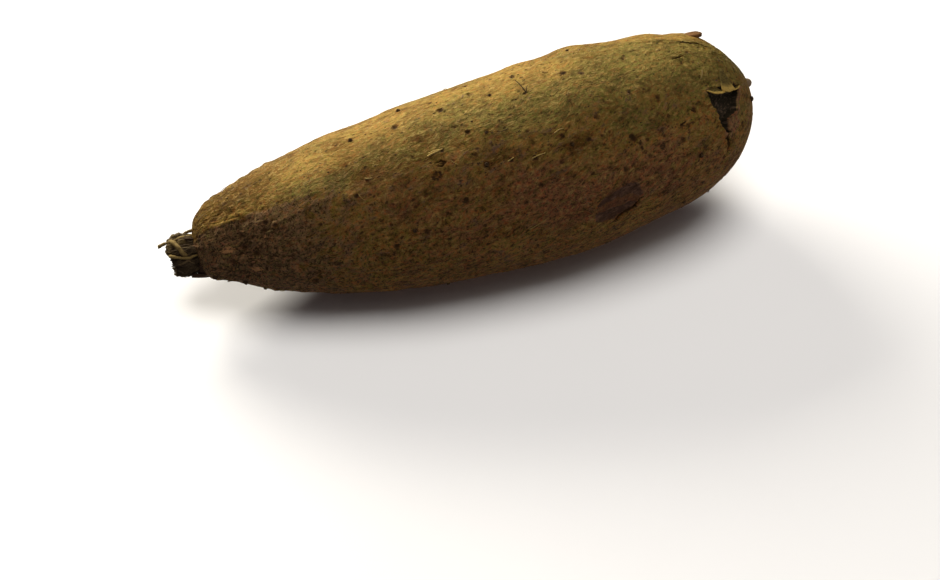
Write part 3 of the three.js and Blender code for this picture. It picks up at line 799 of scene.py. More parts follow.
def moved_by(net, geometry, offset):
    return net.node("GeometryNodeSetPosition", None, {"Geometry": geometry, "Offset": offset})["Geometry"]


def times(net, vector, factor):
    """A vector that is longer or shorter by a factor."""
    return net.node("ShaderNodeVectorMath", {"operation": "SCALE"}, {
        "Vector": vector, "Scale": factor,
    })["Vector"]


def scattered(net, mesh, density, seed):
    """Random points on a mesh; the node also gives their normals."""
    return net.node("GeometryNodeDistributePointsOnFaces", {"distribute_method": "RANDOM"}, {
        "Mesh": mesh, "Density": density, "Seed": seed,
    })


def copies(net, points, instance, **placing):
    """A copy of the instance on each point, with its Rotation and Scale."""
    return net.node("GeometryNodeInstanceOnPoints", None, {
        "Points": points, "Instance": instance, **placing,
    })["Instances"]


def upright_on(net, direction):
    return net.node("FunctionNodeAlignRotationToVector", {"axis": "Z"}, {"Vector": direction})["Rotation"]


def turned_by(net, rotation, turn):
    """A rotation with a further turn about its own axes."""
    return net.node("FunctionNodeRotateRotation", {"rotation_space": "LOCAL"}, {
        "Rotation": rotation, "Rotate By": turn,
    })["Rotation"]


def plain_mesh(made):
    """An object's evaluated mesh, as its modifiers leave it; they are then removed."""
    graph = bpy.context.evaluated_depsgraph_get()
    mesh = bpy.data.meshes.new_from_object(
        made.evaluated_get(graph), preserve_all_data_layers=True, depsgraph=graph
    )
    made.modifiers.clear()
    return mesh


def grow(name, mesh, tree, values):
    """Runs a tree on a mesh and returns the result as a plain object."""
    source = bpy.data.objects.new(name + "_source", mesh)
    bpy.context.scene.collection.objects.link(source)
    modifier = source.modifiers.new("Growth", "NODES")
    modifier.node_group = tree
    for item in tree.interface.items_tree:
        if item.in_out == "INPUT" and item.name in values:
            modifier[item.identifier] = values[item.name]
    done = plain_mesh(source)
    bpy.data.objects.remove(source)
    return add_object(name, done)


def add_object(name, mesh):
    mesh.name = name
    made = bpy.data.objects.new(name, mesh)
    bpy.context.scene.collection.objects.link(made)
    return made


def points_of(mesh):
    places = np.zeros(len(mesh.vertices) * 3, np.float32)
    mesh.vertices.foreach_get("co", places)
    return places.reshape(-1, 3)


def mesh_of(name, points, faces=(), edges=(), values=None):
    """A mesh from points in metres, with point attributes of one or three numbers each."""
    mesh = bpy.data.meshes.new(name)
    mesh.from_pydata([tuple(p) for p in np.asarray(points, float).tolist()], list(edges), list(faces))
    for key, value in (values or {}).items():
        array = np.asarray(value, np.float32)
        vector = array.ndim == 2
        attribute = mesh.attributes.new(key, "FLOAT_VECTOR" if vector else "FLOAT", "POINT")
        attribute.data.foreach_set("vector" if vector else "value", array.ravel())
    mesh.update()
    return mesh


def settle(piece, slot, *nodes):
    """Keeps a finished piece inside the CAD box, hides the nodes it replaces and gives its body; the slot is
    unused.
    """
    mesh = piece.data
    places = np.clip(points_of(mesh), np.array(CAD_BOX[0]), np.array(CAD_BOX[1]))
    mesh.vertices.foreach_set("co", places.ravel().astype(np.float32))
    mesh.update()
    if nodes:
        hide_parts(*nodes)
    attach(piece, "root")


# --- Settings ---------------------------------------------------------------------------------------------


def colour(label, note, value):
    return FloatVectorProperty(
        name=label, description=note, subtype="COLOR", size=3, min=0, max=1, default=value,
    )


def length(label, note, value):
    """A length whose default is given in millimetres."""
    return FloatProperty(name=label, description=note, default=value * MM, min=0, unit="LENGTH", precision=5)


def amount(label, note, value):
    """A plain number that isn't below zero."""
    return FloatProperty(name=label, description=note, default=value, min=0)


class YamSkinSettings(PropertyGroup):
    rings: IntProperty(name="Rings", description="Rows of faces from crown to tip", default=206, min=40)
    sides: IntProperty(name="Sides", description="Faces round the girth", default=336, min=40)
    wrinkle: length("Wrinkles", "Height of the fine wrinkles", 0.26)
    grain: length("Grain", "Height of the lengthways grain", 0.16)
    bark: length("Crown bark", "Height of the cracked bark on the crown", 0.36)
    pit: amount("Pit depth", "Depth of a root scar as a share of its radius", 0.36)
    tan: colour("Tan", "The lightest skin", (0.5, 0.31, 0.07))
    brown: colour("Brown", "The darker skin", (0.24, 0.128, 0.025))
    olive: colour("Olive", "Greenish patches", (0.275, 0.217, 0.051))
    rust: colour("Rust", "Reddish-brown streaks", (0.285, 0.118, 0.057))
    # Laid on the crown's old bark and, more faintly, over the shaded side as painted shade.
    umber: colour("Umber", "Old bark on the crown's underside", (0.275, 0.161, 0.084))
    straw: colour("Straw", "Pale flecks", (0.8, 0.55, 0.165))
    dark: colour("Dark", "Scars, flecks and cracks", (0.045, 0.021, 0.006))
    scuff: colour("Scuff", "The rubbed patch", (0.075, 0.039, 0.026))
    flesh: colour("Dried flesh", "The inside of the torn eye", (0.042, 0.034, 0.019))


class YamEyeSettings(PropertyGroup):
    depth: length("Depth", "Depth of the torn eye", 3.0)
    thickness: length("Skin thickness", "Thickness of the torn skin", 0.42)
    # Partly the curled skin's own pale colour, partly a painted highlight.
    pale: colour("Torn edge", "Inside of the curled skin", (0.9, 0.61, 0.15))
    sliver: colour("Bark sliver", "The lifted sliver of old bark", (0.27, 0.14, 0.052))


class YamRootSettings(PropertyGroup):
    seed: IntProperty(name="Seed", description="Changes where hairs, flakes and crumbs fall", default=11)
    hairs: IntProperty(name="Hairs", description="Fine dry roots on the skin", default=46, min=0)
    flakes: amount("Flakes", "Bark flakes per square centimetre of crown", 3.4)
    crumbs: amount("Crumbs", "Specks of soil per square centimetre", 7.0)
    dark: colour("Dark root", "Dry roots and stumps", (0.075, 0.045, 0.026))
    pale: colour("Pale root", "Bleached dry roots", (0.6, 0.43, 0.14))
    soil: colour("Soil", "Specks of dry soil", (0.09, 0.058, 0.034))


class YamVineSettings(PropertyGroup):
    strands: IntProperty(name="Strands", description="Fibres on the dead vine base", default=170, min=10)
    fibre: length("Fibre height", "How rough the plug's sides are", 1.0)
    dark: colour("Old fibre", "The dead vine's body", (0.08, 0.055, 0.03))
    light: colour("Frayed fibre", "Its frayed strands", (0.2, 0.142, 0.068))
    lump: colour("Dry lump", "The pale broken root base", (0.15, 0.107, 0.042))


class YamStageSettings(PropertyGroup):
    key: amount("Key light", "Power of the soft light behind and above", 9.2)
    top: amount("Top light", "Power of the soft light overhead", 2.4)
    fill: amount("Fill light", "Power of the faint light in front of the tip", 0.47)
    ambient: amount("Surroundings", "Strength of the light all round", 0.085)
    wash: amount("Floor light", "Strength of the light on the floor alone", 2.1)
    floor: colour("Floor", "The pale floor", (0.82, 0.81, 0.79))


# --- Materials --------------------------------------------------------------------------------------------


def fact(net, name):
    """A number stored on the points of the mesh."""
    return net.node("ShaderNodeAttribute", {"attribute_name": name})["Fac"]


def flowing(net, grain):
    """Grain places whose lines run a little askew and wander, as the skin's fibres do."""
    wander = net.scaled(net.drift(net.scaled(grain, 0.07, 0.1, 0.1), 1.0), 3, 5, 5)
    askew = net.part(grain, "X") * -0.13
    return net.vector("ADD", net.vector("ADD", grain, wander), net.joined(Y=askew, Z=askew))


def painted(net, tint, layers):
    """Lays colours over a first one in turn; each has its share and, if it isn't plain, its blend."""
    for laid, share, *blend in layers:
        tint = net.mix(tint, laid, share, *blend)
    return tint


def skin_material(s):
    def build(net):
        place = surface_places(net)
        flow = flowing(net, net.node("ShaderNodeAttribute", {"attribute_name": "grain"})["Vector"])

        def cloud(length, across, *kind):
            return net.noise(net.scaled(flow, length, across, across), *kind)

        fleck = cloud(0.46, 0.7, 4, 0.7, 0.2)
        grit = cloud(1.4, 1.8, 3, 0.65)
        streak = cloud(0.1, 0.36, 3, 0.6, 0.2)
        mottle = cloud(0.16, 0.23, 4, 0.62)
        hue = cloud(0.56, 0.8, 3, 0.65)
        blotch = cloud(0.1, 0.17, 3, 0.6)
        stain = cloud(0.2, 0.28, 3, 0.62, 0.4)
        fold = net.maths("ABSOLUTE", cloud(0.17, 0.75, 2, 0.6, 0.5) - 0.5)
        patch = net.noise(net.scaled(place, 0.03, 0.05, 0.05), 3, 0.5)
        moss = net.noise(net.scaled(place, 0.06, 0.08, 0.08), 4, 0.6, 0.5)
        flaky = net.noise(net.scaled(place, 0.7, 0.7, 0.7), 4, 0.65)
        under, crown, gold, bark = (fact(net, name) for name in ("under", "crown", "gold", "bark"))

        dot = net.cells(net.scaled(flow, 0.3, 0.4, 0.4), "F1")
        dot_size = net.node("ShaderNodeSeparateColor", None, {"Color": dot["Color"]})["Red"] * 0.36 - 0.12
        dots = net.smooth(dot["Distance"] + (grit - 0.5) * 0.16 - dot_size, 0.06, -0.06)

        ripe = gold * 0.5 - bark * 0.7 + (patch - 0.5) * 0.9
        tones = (mottle - 0.5) * (2.0 + crown * 1.6) + (streak - 0.5)
        wood = net.mix(s.brown[:], s.tan[:], net.smooth(ripe + tones, -0.5, 0.5))
        mossy = net.smooth(fact(net, "olive") * 0.36 + moss + mottle * 0.3 - under * 0.2, 0.66, 0.96)
        rusty = fact(net, "rust") * 0.26 + under * 0.45 + streak * 0.9 + mottle * 0.4 - moss * 0.5
        uneven = (mottle - 0.5) * 2.6 + (fleck - 0.5) * 2.0
        # Old bark follows its mask, which also lays painted shade over the shaded side.
        old = net.smooth(fact(net, "umber") * 1.2 + uneven, 0.48, 1.03)
        peeled = net.smooth(fact(net, "torn") + (mottle - 0.5), 0.3, 0.7)
        # Blotches darken and hues redden more towards the shaded side: partly skin tone, partly painted
        # shade.
        shaded = net.smooth(blotch, 0.53, 0.38) * (0.45 + under * 0.55 + old * 0.1)
        shift = 0.5 + under * 1.7 - old * 0.1
        coloured = painted(net, wood, [
            (s.olive[:], mossy * 0.8),
            (s.rust[:], net.smooth(rusty, 0.5, 0.95) * 0.85),
            (DULL_BARK, bark * 0.6, "MULTIPLY"),
            (s.umber[:], old * 0.82),
            (PEELED_BARK, peeled * 0.7),
            (BLOTCH_AND_SHADE, shaded, "MULTIPLY"),
            (AGED_GREEN, net.smooth(stain, 0.5, 0.36) * old * 0.85, "MULTIPLY"),
            (AGED_YELLOW, net.smooth(stain, 0.53, 0.66) * old * 0.6),
            (RUDDY, net.smooth(hue, 0.52, 0.64) * shift, "MULTIPLY"),
            (LEAFY, net.smooth(hue, 0.48, 0.36) * shift, "MULTIPLY"),
        ])

        gritty = grit + (hue - 0.5) * 0.5
        # Thin dark lines stand in for shade in creases, stronger towards the shaded side: painted shade.
        fold_shade = net.smooth(fold, 0.03, 0.005) * net.smooth(mottle, 0.45, 0.6) * (0.2 + under * 0.7)
        glow = net.smooth(grit * 0.5 + hue * 0.7, 0.65, 0.73) * old
        orange = net.smooth(fact(net, "ember") + (grit - 0.5) * 1.2 + (hue - 0.5) * 1.2, 0.35, 0.8)
        # Dark flecks thicken and pale ones thin out towards the shade: partly real specks, partly painted
        # shade.
        flecked = painted(net, coloured, [
            (s.dark[:], net.smooth(fleck, 0.48, 0.34) * (0.46 + under * 0.9 + old * 0.3)),
            (s.straw[:], net.smooth(fleck, 0.52, 0.68) * (1 - old * 0.5) * (0.46 + gold * 0.12)),
            (s.dark[:], net.smooth(grit * 0.8 + mottle * 0.35, 0.62, 0.76) * 0.5),
            (net.mix(SAND, OLD_SAND, old), net.smooth(gritty, 0.54, 0.7) * (under + old * 0.4) * 0.95),
            (s.dark[:], net.smooth(gritty, 0.47, 0.33) * (under + old * 0.5) * 1.5),
            (FOLD_SHADE, fold_shade),
            (s.dark[:], dots * 0.7),
            (BUD, net.smooth(fact(net, "bud") + (grit - 0.5), 0.3, 0.7) * 0.8),
            (EMBER, net.maths("MAXIMUM", glow * 0.2, orange * 0.9)),
        ])

        crust = net.smooth(fact(net, "cells") * 0.6 + flaky * 0.7, 0.5, 0.24)
        scar = fact(net, "scar") + (grit - 0.5) * 1.2 + (fleck - 0.5) * 1.4
        rubbed = net.smooth(fact(net, "rub") + (mottle - 0.5) * 1.6 + (fleck - 0.5) * 0.8, 0.3, 0.75)
        scuff = net.smooth(fact(net, "scuff") + (mottle - 0.5) * 2.2 + (fleck - 0.5) * 2.0, 0.3, 0.74)
        frayed = net.mix(s.scuff[:], FRAYED, net.smooth(streak * 0.6 + fleck * 0.6, 0.54, 0.76))
        blackened = net.mix(frayed, s.dark[:], net.smooth(hue, 0.5, 0.36) * 0.7)
        crack = net.smooth(fact(net, "crack") + (fleck - 0.5) * 1.3 + (grit - 0.5) * 0.8, 0.3, 0.8)
        inside = net.mix(s.flesh[:], PALE_FLESH, net.smooth(fleck + (grit - 0.5) * 0.6, 0.5, 0.72))
        damaged = painted(net, flecked, [
            (s.dark[:], crown * crust * 0.6),
            (SCAR_RING, net.smooth(scar, 0.16, 0.6) * 0.6),
            (SCAR_MIDDLE, net.smooth(scar, 0.42, 0.85) * 0.8),
            (RUBBED, rubbed * 0.6),
            (blackened, scuff * 0.86),
            (s.dark[:], crack * 0.85),
            (inside, net.smooth(fact(net, "eye"), 0.35, 0.6)),
            # The hollows of the fine relief are darkened: painted shade.
            (CAVITY_SHADE, net.smooth(fact(net, "relief"), -0.04, -0.3) * 0.4),
        ])
        rise = fleck * 0.85 + mottle * 0.55 + grit * 0.3 + streak * 0.3 + flaky * crown * 0.5 - dots * 0.16
        return damaged, 0.88 - 0.2 * fleck, relief_normal(net, rise, 0.95)
    return new_material("yam_skin", build)


def torn_material(s):
    def build(net):
        place = surface_places(net)
        grain = net.noise(net.scaled(place, 0.8, 2.2, 2.2), 3, 0.6)
        # The free edge is pale: partly the curled skin's paler inside, partly a painted highlight.
        edge = net.mix(s.pale[:], TORN_STREAK, net.smooth(grain, 0.5, 0.74) * 0.5)
        green = net.mix(TORN_GREEN, TORN_SHADE, net.smooth(grain, 0.42, 0.64))
        inner = net.mix(edge, green, fact(net, "inner"))
        return inner, 0.7 + 0.2 * grain, relief_normal(net, grain, 0.3)
    return new_material("torn_skin", build)


def plain_bark(name, light, dark, grain_scale):
    """Bark or soil in two colours, with grain as fine as its three scales."""
    def build(net):
        place = surface_places(net)
        grain = net.noise(net.scaled(place, *grain_scale), 4, 0.62)
        shade = net.noise(net.scaled(place, 0.35, 0.35, 0.35), 2)
        tint = net.mix(light[:], dark[:], net.smooth(grain + (shade - 0.5) * 0.7, 0.36, 0.66))
        return tint, 0.95 - 0.25 * grain, relief_normal(net, grain, 0.4)
    return new_material(name, build)


def root_material(name, dark, pale):
    """Dry root whose tone, from dark to pale, is stored on its points."""
    def build(net):
        place = surface_places(net)
        grain = net.noise(net.scaled(place, 1.4, 1.4, 1.4), 4, 0.65)
        tone = fact(net, "tone")
        tint = net.mix(dark[:], pale[:], net.smooth(tone + (grain - 0.5) * 0.5, 0.1, 0.9))
        spotted = net.mix(tint, dark[:], net.smooth(grain, 0.56, 0.74) * 0.6)
        return spotted, 0.9 - 0.15 * grain, relief_normal(net, grain, 0.25)
    return new_material(name, build)


# --- The skin ---------------------------------------------------------------------------------------------


def arc_table():
    """Place from crown to tip against distance over the skin, so that rows of faces can be evenly spaced."""
    t = np.linspace(0, 1, 2001)
    profile = np.stack([-HALF_LENGTH * np.cos(math.pi * t), along(RADII, t, True)], -1)
    steps = np.linalg.norm(np.diff(profile, axis=0), axis=1)
    return t, np.concatenate([[0], np.cumsum(steps)])


def drum(rings, sides):
    """A closed drum between two poles: x from 0 to 1, and each spot's angle as a place on the unit circle."""
    turn = np.linspace(0, 2 * math.pi, sides, endpoint=False)
    rows = [np.stack([np.full(sides, i / rings), np.cos(turn), np.sin(turn)], -1) for i in range(1, rings)]
    points = np.vstack([[[0, 0, 0]], *rows, [[1, 0, 0]]])
    ring, side = np.meshgrid(np.arange(rings - 2), np.arange(sides), indexing="ij")
    first = 1 + ring * sides
    after = (side + 1) % sides
    quads = np.stack([first + side, first + after, first + sides + after, first + sides + side], -1)
    last = len(points) - 1
    start = 1 + (rings - 2) * sides
    caps = [(0, 1 + (j + 1) % sides, 1 + j) for j in range(sides)]
    caps += [(last, start + j, start + (j + 1) % sides) for j in range(sides)]
    return points, [tuple(q) for q in quads.reshape(-1, 4).tolist()] + caps


def split_drum(rings, sides, places_of, marks):
    """The drum's points and faces, split near each mark: marks are centre, reach and number of splits."""
    points, faces = drum(rings, sides)
    builder = bmesh.new()
    corners = [builder.verts.new(p) for p in points.tolist()]
    for face in faces:
        builder.faces.new([corners[i] for i in face])
    for level, share in enumerate((1.0, 0.72)):
        faces = list(builder.faces)
        middles = places_of(np.array([face.calc_center_median() for face in faces]))
        near = np.zeros(len(faces), bool)
        for centre, reach, splits in marks:
            if splits > level:
                near |= ((middles - centre) ** 2).sum(1) < (reach * share) ** 2
        edges = {edge for face, wanted in zip(faces, near) if wanted for edge in face.edges}
        bmesh.ops.subdivide_edges(builder, edges=list(edges), cuts=1, use_grid_fill=True)
    mesh = bpy.data.meshes.new("drum")
    builder.to_mesh(mesh)
    builder.free()
    points, faces = points_of(mesh).astype(float), [tuple(p.vertices) for p in mesh.polygons]
    bpy.data.meshes.remove(mesh)
    return points, faces


def dark_spots():
    """Every dark spot of the skin as x, angle, radius and darkness."""
    darkness = [LISTED_DARKNESS] * len(SCARS) + [SPREAD_DARKNESS] * SPREAD_SCARS
    scars = [
        (x, degrees, 0.9 * radius, darkness[i] + 0.15 * math.sin(2.4 * i))
        for i, (x, degrees, radius, _) in enumerate(root_scars())
    ]
    rings = [
        (x + radius * math.cos(0.8 * i), degrees + 1.6 * radius * math.sin(0.8 * i), width, shade)
        for x, degrees, radius, width, shade in RINGS for i in range(8)
    ]
    return scars + SPOTS + rings


def patches(outlines, ragged, first_seed):
    """A patch for each outline, with seeds that follow one another."""
    return [Patch(outline, ragged=ragged, seed=first_seed + i) for i, outline in enumerate(outlines)]


def scale_heights(base, scale):
    """The rise of one old scale, whose end towards the vine is lifted."""
    inside, _ = scale.distance(base)
    near, flat = scale.flat(base)
    lift = np.zeros(len(base))
    start = scale.line[0]
    run = (scale.corners[3] - scale.centre) @ scale.axes.T - start
    lift[near] = 1 - np.clip(((flat - start) @ run) / (run @ run), 0, 1)
    return (SCALE_RISE + SCALE_LIFT * lift) * smoothstep(-inside, -0.15, 0.45)


def carved(base, hole, worn, banded, eye_depth, plates, cracks):
    """How far each point of the skin stands out, in millimetres, and how much of a crack it is."""
    height = np.zeros(len(base))
    height -= eye_depth * (EYE_WALL * smoothstep(-hole, 0.0, 0.5) + EYE_BOWL * smoothstep(-hole, 0.5, 3.5))
    height += EYE_RIM_RISE * bump(hole - 0.3, 0.7) * (hole > 0)
    height -= SCUFF_SINK * smoothstep(-worn, -0.4, 1.6)
    height -= BAND_SINK * banded
    for x, degrees, reach, tall in BUDS:
        away = np.linalg.norm(base - spot(x, degrees), axis=1)
        height += tall * np.clip(1 - (away / reach) ** 2, 0, 1) ** 0.6
    for plate, rise in zip(plates, PLATE_RISES):
        height += rise * smoothstep(-plate.distance(base)[0], -0.1, 0.7)
    for scale in patches(crown_scales(), 0.3, 40):
        height += scale_heights(base, scale)
    gash = np.zeros(len(base))
    for width, deep, crack in cracks:
        away, place = crack.distance(base)
        taper = width * (0.35 + 0.65 * np.sin(math.pi * np.clip(place, 0, 1)))
        opened = np.clip(1 - (away / taper) ** 2, 0, 1)
        height -= deep * opened
        height += CRACK_LIP * deep * bump(away - 1.2 * width, 0.45)
        gash = np.maximum(gash, smoothstep(opened, 0.1, 0.6))
    return height, gash


def colour_facts(base, turn):
    """Where the skin is crown, its turn from the lit top, old bark and painted shade, and each kind of tint.
    """
    down = turn_between(turn, 82)
    # Turn from the lit top: the shaded side is drawn redder and darker, partly redder skin, partly painted
    # shade.
    under = np.abs(down)
    facts = {
        "crown": smoothstep(-base[:, 0] + 3 * np.sin(np.radians(3 * turn)), 74, 100),
        "under": np.where(down < 0, 0.4 + 0.6 * smoothstep(under, 110, 175), 1.0) * under / 180,
        # Old bark on the crown, and a weaker share over the shaded side, where it is painted shade.
        "umber": smoothstep(under, 27, 40) * (0.3 + 0.7 * smoothstep(-base[:, 0], 34, 96)),
        **{kind: np.zeros(len(base)) for kind in ("gold", "bark", "olive", "rust", "ember")},
    }
    for kind, x, degrees, reach, width, strength in TINTS:
        facts[kind] += strength * bump(base[:, 0] - x, reach) * bump(turn_between(turn, degrees), width)
    return facts


class OBJECT_OT_yam_skin(Operator):
    """Make the tuber's skin, with its scars, cracks, scuff and torn eye"""

    bl_idname = "object.yam_skin"
    bl_label = "Yam skin"

    def execute(self, context):
        s = context.scene.yam_skin
        t_table, arc = arc_table()

        def to_t(share):
            return np.interp(share * arc[-1], arc, t_table)

        def on_skin(drum_points):
            return skin_point(to_t(drum_points[:, 0]), np.arctan2(drum_points[:, 2], drum_points[:, 1]))

        eye = Patch(EYE_HOLE, ragged=0.3, seed=3)
        scuff = Patch(SCUFF, ragged=0.5, step=1.0, seed=4)
        plates = patches(BARK_PLATES, 0.25, 5)
        cracks = [
            (width, deep, Patch(line, closed=False, ragged=0.16, step=0.8, seed=20 + i))
            for i, (width, deep, line) in enumerate(CRACKS)
        ]
        spots = dark_spots()

        centres = [spot(x, degrees) for x, degrees, _, _ in spots]
        marks = [(centre, 1.9 * radius, 1) for centre, (_, _, radius, _) in zip(centres, spots)]
        lines = [(eye, 1.8), (scuff, 1.0), (plates[0], 0.9)] + [(crack, 1.2) for _, _, crack in cracks]
        for patch, reach in lines:
            marks += [(patch.centre + place @ patch.axes, reach, 2) for place in patch.line[::2]]
        # The torn eye's bowl, its outline aside.
        marks += [(spot(x, degrees), 2.4, 2) for x in range(84, 97, 3) for degrees in range(126, 144, 6)]
        marks += [(spot(x, degrees), 1.6 * reach, 2) for x, degrees, reach, _ in BUDS]
        drum_points, faces = split_drum(s.rings, s.sides, on_skin, marks)

        base = on_skin(drum_points)
        share = drum_points[:, 0]
        t = to_t(share)
        grain = np.stack([
            share * arc[-1], base[:, 1] - along(AXIS_SWAYS, t), base[:, 2] - along(AXIS_HEIGHTS, t),
        ], -1)
        turn = np.degrees(np.arctan2(grain[:, 2], grain[:, 1]))

        hole, _ = eye.distance(base)
        worn, _ = scuff.distance(base)
        bands = patches(SCUFF_BANDS, 0.35, 14)
        banded = np.max([smoothstep(-band.distance(base)[0], -0.7, 0.7) for band in bands], 0)
        eye_depth = context.scene.yam_eye.depth / MM
        height, gash = carved(base, hole, worn, banded, eye_depth, plates, cracks)
        near_eye = bump(np.maximum(hole, 0), 2.6) * (base[:, 0] > 86) * (turn > 124)
        peeled = bump(np.linalg.norm(base - spot(91, 151), axis=1), 4.2) * (hole > 0)

        mesh = mesh_of("yam_base", in_metres(base), faces, values={
            "grain": grain,
            "carved": height,
            "eye": smoothstep(-hole, -0.12, 0.3),
            "torn": np.maximum(0.8 * near_eye, peeled),
            "scuff": banded,
            "rub": smoothstep(-worn, -0.8, 0.8),
            "crack": gash,
            "bud": bump(np.linalg.norm(base - spot(*BUDS[0][:2]), axis=1), 3.0),
            **colour_facts(base, turn),
        })
        scars = add_object("scar_points", mesh_of("scar_points", in_metres(centres), values={
            "size": [radius * MM for _, _, radius, _ in spots],
            "shade": [darkness for _, _, _, darkness in spots],
        }))
        piece = grow("tuber_skin", mesh, skin_tree(skin_material(s)), {
            "Scars": scars,
            "Wrinkle height": s.wrinkle,
            "Grain height": s.grain,
            "Bark height": s.bark,
            "Pit depth": s.pit,
        })
        bpy.data.objects.remove(scars)
        settle(piece, "yam_skin", "tuber")
        return {"FINISHED"}


def skin_tree(material):
    """Raises the carved form, wrinkles, grain, cracked bark and root scars on the bare skin."""
    tree, net, given = new_tree("Skin relief", [
        ("Scars", "NodeSocketObject", None),
        ("Wrinkle height", "NodeSocketFloat", 0.3 * MM),
        ("Grain height", "NodeSocketFloat", 0.2 * MM),
        ("Bark height", "NodeSocketFloat", 0.8 * MM),
        ("Pit depth", "NodeSocketFloat", 0.75),
    ])
    grain = named(net, "grain", "FLOAT_VECTOR")
    flow = flowing(net, grain)
    place = position(net)
    crown = named(net, "crown")

    ridges = net.noise(net.scaled(flow, 0.15, 0.34, 0.34), 2, 0.55, 0.9)
    sharp = 1 - net.maths("ABSOLUTE", ridges - 0.5) * 7
    where = net.smooth(net.noise(net.scaled(grain, 0.03, 0.05, 0.05), 2), 0.42, 0.62)
    wrinkle = net.maths("MAXIMUM", sharp, 0.0) * where * given["Wrinkle height"]
    waves = (net.noise(net.scaled(flow, 0.2, 0.33, 0.33), 3, 0.6, 0.3) - 0.5) * 2 * given["Grain height"]

    cell = net.cells(net.scaled(grain, 0.2, 0.34, 0.34), "DISTANCE_TO_EDGE")["Distance"]
    crust = net.noise(net.scaled(grain, 0.3, 0.5, 0.5), 4, 0.65)
    cells = net.smooth(cell + (crust - 0.5) * 0.16, 0.0, 0.14)
    bark = (cells * 0.7 + crust * 1.3 - 1.25) * crown * given["Bark height"]

    points = form_of(net, given["Scars"])
    wobble = net.drift(net.scaled(grain, 0.9, 0.9, 0.9), 2.0)
    looked = net.vector("ADD", place, net.scaled(wobble, *[SCAR_WOBBLE] * 3))
    nearest = net.node("GeometryNodeSampleNearest", {"domain": "POINT"}, {
        "Geometry": points, "Sample Position": looked,
    })["Index"]

    def of_scar(kind, value):
        return net.node("GeometryNodeSampleIndex", {"data_type": kind, "domain": "POINT"}, {
            "Geometry": points, "Value": value, "Index": nearest,
        })["Value"]

    centre = of_scar("FLOAT_VECTOR", position(net))
    size = of_scar("FLOAT", named(net, "size"))
    away = net.vector("DISTANCE", looked, centre) / size
    shade = of_scar("FLOAT", named(net, "shade"))
    pit = net.smooth(away, 0.95, 0.2) * given["Pit depth"] * size * -1
    rim = net.smooth(away, 1.6, 1.1) * net.smooth(away, 0.7, 1.1) * size * 0.12
    scar = net.smooth(away, 1.55, 0.3) * shade

    fine = wrinkle + waves + bark
    resting = net.smooth(net.part(place, "Z"), *RESTING_EDGE)
    hollow = named(net, "eye")
    ragged = (net.noise(net.scaled(grain, 0.7, 1.1, 1.1), 3, 0.65) - 0.5) * hollow * FLESH_ROUGHNESS
    raised = named(net, "carved") * MM + fine * resting * (1 - hollow) + ragged + (pit + rim) * resting
    kept = moved_by(net, given["Geometry"], times(net, facing(net), raised))
    for name, value in (("relief", fine * 1000), ("scar", scar), ("cells", cells)):
        kept = stored(net, kept, name, value)
    end_tree(net, kept, material)
    return tree


# --- The torn eye's lip, and the sliver of bark ------------------------------------------------------------


def sheet_of(name, rows, thickness, values=None):
    """A thin closed sheet over a grid of points in millimetres, thickened inwards."""
    rows = np.asarray(rows)
    count_u, count_v = rows.shape[:2]
    points = rows.reshape(-1, 3)
    faces = [
        (i * count_v + j, (i + 1) * count_v + j, (i + 1) * count_v + j + 1, i * count_v + j + 1)
        for i in range(count_u - 1)
        for j in range(count_v - 1)
    ]
    mesh = mesh_of(name, in_metres(points), faces, values=values)
    made = add_object(name, mesh)
    solid = made.modifiers.new("Thickness", "SOLIDIFY")
    solid.thickness = thickness
    solid.offset = -1
    made.data = plain_mesh(made)
    return made


def join(name, objects, material):
    """One object from several, each of them closed, with faces turned outwards."""
    builder = bmesh.new()
    for part in objects:
        builder.from_mesh(part.data)
        bpy.data.objects.remove(part)
    bmesh.ops.recalc_face_normals(builder, faces=list(builder.faces))
    mesh = bpy.data.meshes.new(name)
    builder.to_mesh(mesh)
    builder.free()
    mesh.materials.clear()
    mesh.materials.append(material)
    for polygon in mesh.polygons:
        polygon.use_smooth = True
        polygon.material_index = 0
    return add_object(name, mesh)


def curled(rng, root, edge, lift, ragged, curl, sunk):
    """Rows of a flap that is rooted along one line on the skin and stands off it along the other."""
    roots, edges = smooth_path(root, SHEET_STEPS), smooth_path(edge, SHEET_STEPS)
    lifts = np.interp(np.linspace(0, 1, SHEET_STEPS), np.linspace(0, 1, len(lift)), lift)
    shifts = [ragged * rng.uniform(-1, 1) for _ in range(SHEET_STEPS)]
    rows = []
    for i in range(SHEET_STEPS):
        row = []
        for f in np.linspace(0, 1, SHEET_WIDTH):
            x, degrees = roots[i] + (edges[i] + [0, 1.2 * shifts[i]] - roots[i]) * f
            row.append(spot(x, degrees, -sunk + (lifts[i] + sunk + 0.4 * shifts[i]) * f**curl))
        rows.append(row)
    return np.array(rows)


class OBJECT_OT_yam_eye(Operator):
    """Make the curled lip over the torn eye, and the lifted sliver of bark"""

    bl_idname = "object.yam_eye"
    bl_label = "Torn eye and bark sliver"

    def execute(self, context):
        s = context.scene.yam_eye
        rng = random.Random(5)
        inner = np.tile(smoothstep(np.linspace(0, 1, SHEET_WIDTH), 0.98, 0.66), SHEET_STEPS)
        sheets = [
            sheet_of(name, curled(rng, *shape), share * s.thickness, {"inner": inner})
            for name, share, *shape in TORN_SHEETS
        ]
        settle(join("eye_lip", sheets, torn_material(s)), "yam_skin")
        sliver = sheet_of("sliver", curled(rng, *SLIVER), SLIVER_THICKNESS)
        bark = plain_bark("bark_sliver", s.sliver, SLIVER_SHADE, (0.4, 1.8, 1.8))
        settle(join("bark_sliver", [sliver], bark), "yam_skin")
        return {"FINISHED"}


# --- Stumps, hairs, flakes and crumbs ----------------------------------------------------------------------


